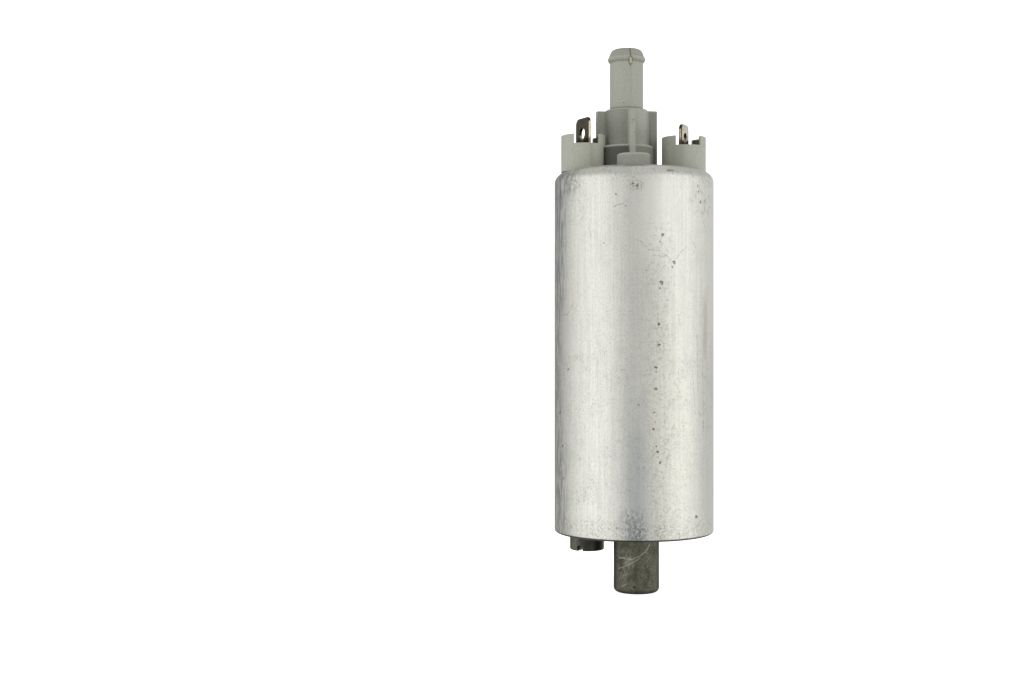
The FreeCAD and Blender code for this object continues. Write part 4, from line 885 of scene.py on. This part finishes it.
def tower_mesh():
    """Step ring, base, tube and bead in one spun body, with rounded shoulders."""
    ring, base, tube = STEP_RING_RADIUS, TOWER_BASE_RADIUS, TUBE_RADIUS
    line = [(0.0, RIM_TOP), (ring, RIM_TOP), (ring, STEP_RING_TOP - 0.6)]
    line += arc(ring - 0.6, STEP_RING_TOP - 0.6, 0.6, 0, 90, 5)
    line += [(base + 0.2, STEP_RING_TOP)] + arc(base + 0.2, STEP_RING_TOP + 0.2, 0.2, -90, -180, 3)
    line += [(base, TOWER_BASE_TOP - 0.3)] + arc(base - 0.3, TOWER_BASE_TOP - 0.3, 0.3, 0, 90, 4)
    line += [(tube + 0.2, TOWER_BASE_TOP)] + arc(tube + 0.2, TOWER_BASE_TOP + 0.2, 0.2, -90, -180, 3)
    line += [(tube, TUBE_TOP - 8.5)]
    line += [(radius, TUBE_TOP - drop) for radius, drop in HEAD_PROFILE]
    line += [(0.0, TUBE_TOP)]
    return spun(line, 128, x=TOWER_X)


def rib_mesh(facing, drop):
    """One rib of the tower's base, thicker at its root, with rounded tip edges."""
    low, high = RIM_TOP + 0.1, TOWER_BASE_TOP - drop
    bm = block((RIB_REACH, RIB_TIP, high - low), (RIB_REACH / 2, 0.0, (low + high) / 2))
    for vert in bm.verts:
        if vert.co.x < 0.01:
            vert.co.y *= RIB_ROOT / RIB_TIP
    soften(bm, 0.28, segments=4, chosen=lambda edge: max(v.co.x for v in edge.verts) > RIB_REACH - 0.01
           or min(v.co.z for v in edge.verts) > high - 0.01)
    return tidy(placed(bm, facing, TOWER_X))


def seam_nib():
    """The small bulge of flash where the mould's seam crosses the bead."""
    bm = bmesh.new()
    bmesh.ops.create_uvsphere(bm, u_segments=16, v_segments=12, radius=1.0)
    bmesh.ops.scale(bm, vec=(0.32, 0.4, 0.95), verts=bm.verts)
    bmesh.ops.translate(bm, verts=bm.verts, vec=(TOWER_X + 0.12, -4.12, TUBE_TOP - 3.2))
    return bm


def cap_mesh():
    """The part of the outlet cap that stands above the can's rim."""
    deck_line = [(0.0, RIM_TOP), (DECK_RADIUS, RIM_TOP), (DECK_RADIUS, DECK_TOP - 0.15)]
    deck_line += arc(DECK_RADIUS - 0.15, DECK_TOP - 0.15, 0.15, 0, 90, 3) + [(0.0, DECK_TOP)]
    boss_line = [(0.0, RIM_TOP + 0.1), (BOSS_RADIUS, RIM_TOP + 0.1), (BOSS_RADIUS, BOSS_TOP - 0.5)]
    boss_line += arc(BOSS_RADIUS - 0.5, BOSS_TOP - 0.5, 0.5, 0, 90, 5) + [(0.0, BOSS_TOP)]
    tools = [("UNION", tower_mesh()), ("UNION", spun(boss_line, 72, x=BOSS[0], y=BOSS[1]))]
    tools += [("UNION", rib_mesh(*row)) for row in ((0, 0.04), (90, 0.04), (180, 0.3), (270, 0.5))]
    tools += [("UNION", well_ring(side)) for side in (-1, 1)]
    tools += [("UNION", seam_nib())]
    below, lip = RIM_TOP - 2.9, TUBE_BORE + 0.25
    bore = [(0.0, below), (VALVE_BORE, below), (VALVE_BORE, VALVE_ROOM_TOP), (TUBE_BORE, VALVE_ROOM_TOP),
            (TUBE_BORE, TUBE_TOP - 0.25), (lip, TUBE_TOP), (lip, TUBE_TOP + 1.0), (0.0, TUBE_TOP + 1.0)]
    tools.append(("DIFFERENCE", spun(bore, 96, x=TOWER_X)))
    for x, (width, *_rest, angle) in ((-WELL_X, WIDE_BLADE), (WELL_X, NARROW_BLADE)):
        slot = block((width + 0.04, BLADE_THICKNESS + 0.04, 8.0), (0.0, 0.0, RIM_TOP + 3.0))
        tools.append(("DIFFERENCE", placed(slot, angle, x)))
    return joined(spun(deck_line, 128), tools)


def hidden_cap_mesh():
    """The cap's skirt, brush blocks and hub below the rim, kept from the CAD solid."""
    return cut_off(cad_copy("outlet_cap"), RIM_TOP - 0.01, keep_above=False)


# Blades: width, height above the deck, hole, its drop from the tip, radius of each tip corner, turn
WIDE_BLADE = (6.3, 12.8, 2.6, 3.7, (1.5, 1.0), -71.5)
NARROW_BLADE = (4.8, 11.7, 1.6, 2.95, (1.3, 1.3), 55.0)


def blade_mesh(x, width, height, hole, hole_drop, corners, angle):
    """One terminal blade: rounded tip corners, a punched hole and lightly rolled edges."""
    top, seat = DECK_TOP + height, WELL_FLOOR - 1.5
    bm = block((width, BLADE_THICKNESS, top - seat), (0.0, 0.0, (top + seat) / 2))
    for side, radius in zip((-1, 1), corners):
        edge = [e for e in bm.edges if all(v.co.x * side > 0 and v.co.z > top - 0.01 for v in e.verts)]
        bmesh.ops.bevel(bm, geom=edge, offset=radius, offset_type="OFFSET", affect="EDGES", segments=6,
                        profile=0.5, material=-1, clamp_overlap=True)
    punch = drum(hole / 2, 4.0)
    bmesh.ops.rotate(punch, verts=punch.verts, cent=(0, 0, 0), matrix=Matrix.Rotation(math.pi / 2, 3, "X"))
    bmesh.ops.translate(punch, verts=punch.verts, vec=(0, 0, top - hole_drop))
    tail = block((3.0, BLADE_THICKNESS, 5.0), (0.0, 0.0, seat - 1.7))
    bm = joined(bm, [("DIFFERENCE", punch), ("UNION", tail)])
    soften(bm, BLADE_EDGE, angle=60)
    centre = Vector((0, 0, top - hole_drop))
    # Finishes by face: the broad faces (0); the end faces, in bare edge colour with painted light, and the
    # upward faces in the hole, painted as lit (1); all other edge faces, in painted shade (2)
    for face in bm.faces:
        flat, middle = abs(face.normal.y), face.calc_center_median()
        side = abs(face.normal.x) > 0.95 and face.calc_area() > 1.0
        lit = flat < 0.5 and face.normal.z > 0.2 and (middle - centre).length < hole / 2 + 0.5
        face.material_index = 0 if flat > 0.95 else 1 if side or lit else 2
    return placed(bm, angle, x)


def relief_cap_mesh():
    """Slotted cap of the relief valve, with rounded rim and slot edges, a vent and a hollow shank."""
    top, low, radius = COVER_FACE, COVER_FACE - RELIEF_HEIGHT, RELIEF_RADIUS
    shank, bore, vent = 3.2, 2.3, 0.8
    line = [(vent, low), (radius - 0.5, low)] + arc(radius - 0.5, low + 0.5, 0.5, -90, 0, 5)
    line += [(radius, top - 0.02), (shank, top - 0.02), (shank, top + 3.3), (bore, top + 3.3)]
    line += [(bore, low + 2.6), (vent, low + 2.6)]
    bm = spun(line, 72, x=RELIEF[0], y=RELIEF[1], closed=True)
    slot = block((1.45, 12.0, 3.0), (0.0, 0.0, low + 1.3 - 1.5))
    bm = joined(bm, [("DIFFERENCE", placed(slot, RELIEF_SLOT_TURN, *RELIEF))])
    return soften(bm, 0.1, angle=50, chosen=lambda edge: max(v.co.z for v in edge.verts) < low + 1.6)


def spigot_mesh():
    """The cast inlet spigot with its bore: slightly lumpy skin, rounded and nicked at its end."""
    low, top, rows = COVER_LOW.z, COVER_FACE + 0.1, 44
    foot = low + SPIGOT_ROUND
    wall = [(SPIGOT_RADIUS, foot + (top - foot) * n / rows) for n in range(1, rows + 1)]
    line = [(SPIGOT_BORE + 0.4, low)]
    line += arc(SPIGOT_RADIUS - SPIGOT_ROUND, foot, SPIGOT_ROUND, -90, 0, 8)
    line += wall + [(SPIGOT_BORE, top), (SPIGOT_BORE, low + 0.4)]
    bm = spun(line, 144, y=SPIGOT_Y, closed=True)
    nicks = [(Vector((-2.6, -7.9, low + 0.2)), 0.7, 0.12), (Vector((2.9, -7.6, low + 0.3)), 0.5, 0.1),
             (Vector((0.4, -8.3, low + 0.2)), 0.4, 0.08)]
    for vert in bm.verts:
        out = Vector((vert.co.x, vert.co.y - SPIGOT_Y, 0.0))
        if out.length < SPIGOT_BORE + 0.2:
            continue
        lump = noise.noise(vert.co * 0.55) * 0.6 + noise.noise(vert.co * 1.7) * 0.4
        depth = 0.05 * (1.0 - lump) / 2
        vert.co -= out.normalized() * pressed(depth, vert.co, nicks)
    return bm


def cover_body_mesh():
    """The cover above its face, with its ports and seats, kept from the CAD solid."""
    return cut_off(cad_copy("inlet_cover"), COVER_FACE - 0.02, keep_above=True)


# Settings

def colour_setting(name, description, default):
    return bpy.props.FloatVectorProperty(name=name, description=description, default=default,
                                         subtype="COLOR", size=3, min=0.0, max=1.0)


class CanSettings(bpy.types.PropertyGroup):
    """What can be changed on the can."""

    colour: colour_setting("Colour", "Base colour of the plated wall", (0.82, 0.82, 0.75))
    roughness: bpy.props.FloatProperty(
        name="Roughness", description="How dull the wall is", subtype="FACTOR",
        min=0.1, max=0.9, default=0.33)
    wave: bpy.props.FloatProperty(
        name="Wave", description="How far the drawn wall is uneven", unit="LENGTH",
        min=0.0, max=0.0002, default=0.00003)
    segments: bpy.props.IntProperty(
        name="Segments", description="Faces round the can", min=48, max=320, default=224)


class CapSettings(bpy.types.PropertyGroup):
    """What can be changed on the outlet cap."""

    colour: colour_setting("Colour", "Base colour of the moulding", (0.48, 0.49, 0.415))
    pale_colour: colour_setting("Pale colour", "Colour of its paler patches", (0.54, 0.545, 0.475))


class TerminalSettings(bpy.types.PropertyGroup):
    """What can be changed on the two terminals."""

    wide_colour: colour_setting(
        "Wide blade", "Colour of the wide blade's tarnished faces", (0.088, 0.083, 0.058))
    narrow_colour: colour_setting("Narrow blade", "Colour of the narrow blade", (0.72, 0.68, 0.60))


class InletSettings(bpy.types.PropertyGroup):
    """What can be changed on the inlet cover."""

    colour: colour_setting("Colour", "Base colour of the casting", (0.16, 0.156, 0.114))


class StageSettings(bpy.types.PropertyGroup):
    """What can be changed on the studio."""

    light: bpy.props.FloatProperty(
        name="Light", description="Strength of the studio light", min=0.0, max=5.0, default=1.0)
    floor_colour: colour_setting("Floor", "Colour of floor and backdrop", (0.9, 0.9, 0.9))


# Operators

class FUELPUMP_OT_can(bpy.types.Operator):
    """Build the can"""

    bl_idname = "fuelpump.can"
    bl_label = "Can"

    def execute(self, context):
        settings = context.scene.fuelpump_can
        finished(can_mesh(settings), "can_shell", [can_metal(settings)], ["can"])
        return {"FINISHED"}


class FUELPUMP_OT_cap(bpy.types.Operator):
    """Build the outlet cap"""

    bl_idname = "fuelpump.cap"
    bl_label = "Outlet cap"

    def execute(self, context):
        material = cap_plastic(context.scene.fuelpump_cap)
        finished(cap_mesh(), "cap_top", [material], ["outlet_cap"])
        finished(hidden_cap_mesh(), "cap_skirt", [material])
        return {"FINISHED"}


class FUELPUMP_OT_terminals(bpy.types.Operator):
    """Build the two blade terminals"""

    bl_idname = "fuelpump.terminals"
    bl_label = "Terminals"

    def execute(self, context):
        settings = context.scene.fuelpump_terminals
        rows = [
            ("wide_blade", "terminal_positive", settings.wide_colour, (0.16, 0.145, 0.095), 0.34,
             (1.0, 0.88, 0.68), (-WELL_X, *WIDE_BLADE)),
            ("narrow_blade", "terminal_negative", settings.narrow_colour, (0.84, 0.80, 0.72), 0.3,
             (0.74, 0.60, 0.40), (WELL_X, *NARROW_BLADE)),
        ]
        # Three finishes per blade: its faces; its end faces and the lit faces in its hole, in a bare edge
        # colour with painted light; and its other edge faces, nearly black with painted shade
        for name, node, tone, pale, rough, edge_and_lit_tone, sizes in rows:
            slot = name + "_metal"
            materials = [blade_metal(slot, tone, pale, rough),
                         blade_metal(slot + "_side", edge_and_lit_tone, [0.8 * c for c in edge_and_lit_tone], rough),
                         blade_metal(slot + "_rim", (0.05, 0.042, 0.027), (0.1, 0.08, 0.05), rough)]
            finished(blade_mesh(*sizes), name, materials, [node])
        return {"FINISHED"}


class FUELPUMP_OT_inlet(bpy.types.Operator):
    """Finish the inlet cover and build the relief valve's cap"""

    bl_idname = "fuelpump.inlet"
    bl_label = "Inlet cover and relief cap"

    def execute(self, context):
        casting = cast_metal(context.scene.fuelpump_inlet)
        finished(spigot_mesh(), "spigot", [casting], ["inlet_cover"])
        finished(cover_body_mesh(), "cover_body", [casting])
        finished(relief_cap_mesh(), "relief_plug", [relief_metal()], ["relief_cap"])
        return {"FINISHED"}


class FUELPUMP_OT_inner(bpy.types.Operator):
    """Give the motor, pumping stage and valves their finishes"""

    bl_idname = "fuelpump.inner"
    bl_label = "Inner pieces"

    def execute(self, context):
        slots = {row["node"]: row["material_slot"] for row in frame["record"]["subparts"]}
        materials = {}
        for node, slot in slots.items():
            if slot in INNER_FINISHES:
                if slot not in materials:
                    materials[slot] = inner_material(slot)
                dress(node, materials[slot])
        covered = {"can": "can_shell", "outlet_cap": "cap_top", "inlet_cover": "spigot",
                   "terminal_positive": "wide_blade", "terminal_negative": "narrow_blade",
                   "relief_cap": "relief_plug"}
        for node, piece in covered.items():
            dress(node, bpy.data.objects[piece].data.materials[0])
        for joint in frame["record"]["behaviour"]["joints"]:
            for row in joint.get("deforming_nodes", []):
                slot = slots[row["node"]]
                yielding_piece(row["node"], materials[slot])
        return {"FINISHED"}


def yielding_piece(node, material):
    """A spring or braid as a piece of its own, copied from its CAD node and given its finish."""
    piece = finished(tidy(cad_copy(node)), node + "_shape", [material], [node])
    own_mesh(piece)


def dress(node, material):
    """Gives a CAD node its finish."""
    slots = frame["nodes"][node].data.materials
    slots.clear()
    slots.append(material)


class FUELPUMP_OT_stage(bpy.types.Operator):
    """Build the studio: a pale floor that rises into a backdrop, soft light and the camera"""

    bl_idname = "fuelpump.stage"
    bl_label = "Studio"

    def execute(self, context):
        settings = context.scene.fuelpump_stage
        build_floor(settings)
        build_light(context.scene, settings)
        build_camera(context.scene)
        return {"FINISHED"}


def build_floor(settings):
    """A round pale floor at the spigot's end whose rim rises into a wall."""
    floor_z, reach, curve, height = COVER_LOW.z - 0.02, 2000.0, 800.0, 4000.0
    line = [(0.0, floor_z), (300.0, floor_z), (reach, floor_z)]
    line += arc(reach, floor_z + curve, curve, -90, 0, 12) + [(reach + curve, height)]
    bm = spun(line, 96)
    bmesh.ops.reverse_faces(bm, faces=bm.faces)
    bmesh.ops.scale(bm, vec=(MM, MM, MM), verts=bm.verts)
    floor = as_object(bm, "studio_floor")
    floor.data.shade_smooth()
    material, g, shader = new_material("studio_floor", 0.0)
    g.feed(shader["Base Color"], settings.floor_colour)
    shader["Roughness"].default_value = 0.9
    g.feed(shader["Emission Color"], (1.0, 1.0, 1.0))
    shader["Emission Strength"].default_value = 1.0
    floor.data.materials.append(material)
    floor.visible_glossy = False
    floor.visible_diffuse = False
    floor.visible_shadow = False


# Brightness of the studio by bearing, in degrees from -Y towards +X
STUDIO = [
    (-180, 0.33), (-158, 0.37), (-140, 0.43), (-125, 0.59), (-108, 0.85), (-88, 1.08), (-66, 1.16),
    (-48, 1.07), (-34, 0.82), (-20, 0.58), (-6, 0.56), (8, 0.66), (20, 0.75), (32, 0.92), (46, 1.14),
    (62, 1.19), (80, 1.04), (98, 0.83), (118, 0.74), (140, 0.70), (160, 0.60),
]
# And by height of the direction, from straight down to straight up
STUDIO_HEIGHTS = [(-1.0, 0.80), (-0.5, 0.95), (-0.2, 1.0), (0.1, 1.0), (0.3, 0.88), (0.5, 0.7), (1.0, 0.6)]
# The level that the ramp's full white stands for, and the level overhead
STUDIO_PEAK = 1.2
STUDIO_TOP = 0.56

# The camera's place in metres and the level direction that it looks in
CAMERA_PLACE = (-0.07048, -0.33461, 0.00265)
CAMERA_AIM = (0.1219, 0.9925)


def level_ramp(g, value, levels):
    """A grey ramp through (position, level) stops."""
    ramp = g.tree.nodes.new("ShaderNodeValToRGB")
    g.feed(ramp.inputs[0], value)
    stops = ramp.color_ramp.elements
    stops[0].position, stops[-1].position = levels[0][0], levels[-1][0]
    for position, _level in levels[1:-1]:
        stops.new(position)
    for stop, (_position, level) in zip(stops, levels):
        stop.color = (level, level, level, 1.0)
    return ramp.outputs[0]


def build_light(scene, settings):
    """Soft light from large panels on both sides, with a darker gap towards the camera."""
    scene.world = bpy.data.worlds.new("studio")
    scene.world.use_nodes = True
    tree = scene.world.node_tree
    g = Graph(tree)
    way = g.add("ShaderNodeTexCoord", {}, "Generated")
    split = tree.nodes.new("ShaderNodeSeparateXYZ")
    g.feed(split.inputs[0], way)
    angle = g.math("ARCTAN2", split.outputs[0], g.times(split.outputs[1], -1.0))
    turn = g.plus(g.over(angle, 2 * math.pi), 0.5)
    around = level_ramp(g, turn, [((b + 180) / 360, level / STUDIO_PEAK) for b, level in STUDIO])
    upright = level_ramp(g, g.math("MULTIPLY_ADD", split.outputs[2], 0.5, third=0.5),
                         [((z + 1) / 2, level) for z, level in STUDIO_HEIGHTS])
    side = g.times(g.times(around, upright), STUDIO_PEAK)
    above = g.ramp(split.outputs[2], 0.2, 0.75)
    level = g.plus(g.times(side, g.minus(1.0, above)),
                   g.times(above, STUDIO_TOP))
    g.feed(tree.nodes["Background"].inputs[1], g.times(level, settings.light))
    g.feed(tree.nodes["Background"].inputs[0], (1.0, 1.0, 1.0))
    scene.view_settings.view_transform = "Standard"


def build_camera(scene):
    """The photograph's camera: level, a little to the left of the front."""
    data = bpy.data.cameras.new("camera")
    data.lens = 50.0
    data.sensor_width = 36.0
    camera = bpy.data.objects.new("camera", data)
    scene.collection.objects.link(camera)
    camera.location = CAMERA_PLACE
    camera.rotation_euler = (math.pi / 2, 0.0, -math.atan2(*CAMERA_AIM))
    scene.camera = camera


class FUELPUMP_PT_panel(bpy.types.Panel):
    """Buttons that build the pump, piece by piece"""

    bl_label = "Electric Fuel Pump"
    bl_idname = "FUELPUMP_PT_panel"
    bl_space_type = "VIEW_3D"
    bl_region_type = "UI"
    bl_category = "Fuel Pump"

    def draw(self, context):
        for operator in OPERATORS:
            self.layout.operator(operator.bl_idname)
        for name in SETTINGS:
            box = self.layout.box()
            settings = getattr(context.scene, name)
            for key in settings.__annotations__:
                box.prop(settings, key)


SETTINGS = {
    "fuelpump_can": CanSettings,
    "fuelpump_cap": CapSettings,
    "fuelpump_terminals": TerminalSettings,
    "fuelpump_inlet": InletSettings,
    "fuelpump_stage": StageSettings,
}
OPERATORS = [FUELPUMP_OT_can, FUELPUMP_OT_cap, FUELPUMP_OT_terminals, FUELPUMP_OT_inlet, FUELPUMP_OT_inner,
             FUELPUMP_OT_stage]


def register():
    for name, settings in SETTINGS.items():
        bpy.utils.register_class(settings)
        setattr(bpy.types.Scene, name, bpy.props.PointerProperty(type=settings))
    for operator in OPERATORS:
        bpy.utils.register_class(operator)
    bpy.utils.register_class(FUELPUMP_PT_panel)


def unregister():
    bpy.utils.unregister_class(FUELPUMP_PT_panel)
    for operator in reversed(OPERATORS):
        bpy.utils.unregister_class(operator)
    for name, settings in SETTINGS.items():
        delattr(bpy.types.Scene, name)
        bpy.utils.unregister_class(settings)


def main():
    register()
    for operator in OPERATORS:
        group, name = operator.bl_idname.split(".")
        getattr(getattr(bpy.ops, group), name)()


if __name__ == "__main__":
    main()
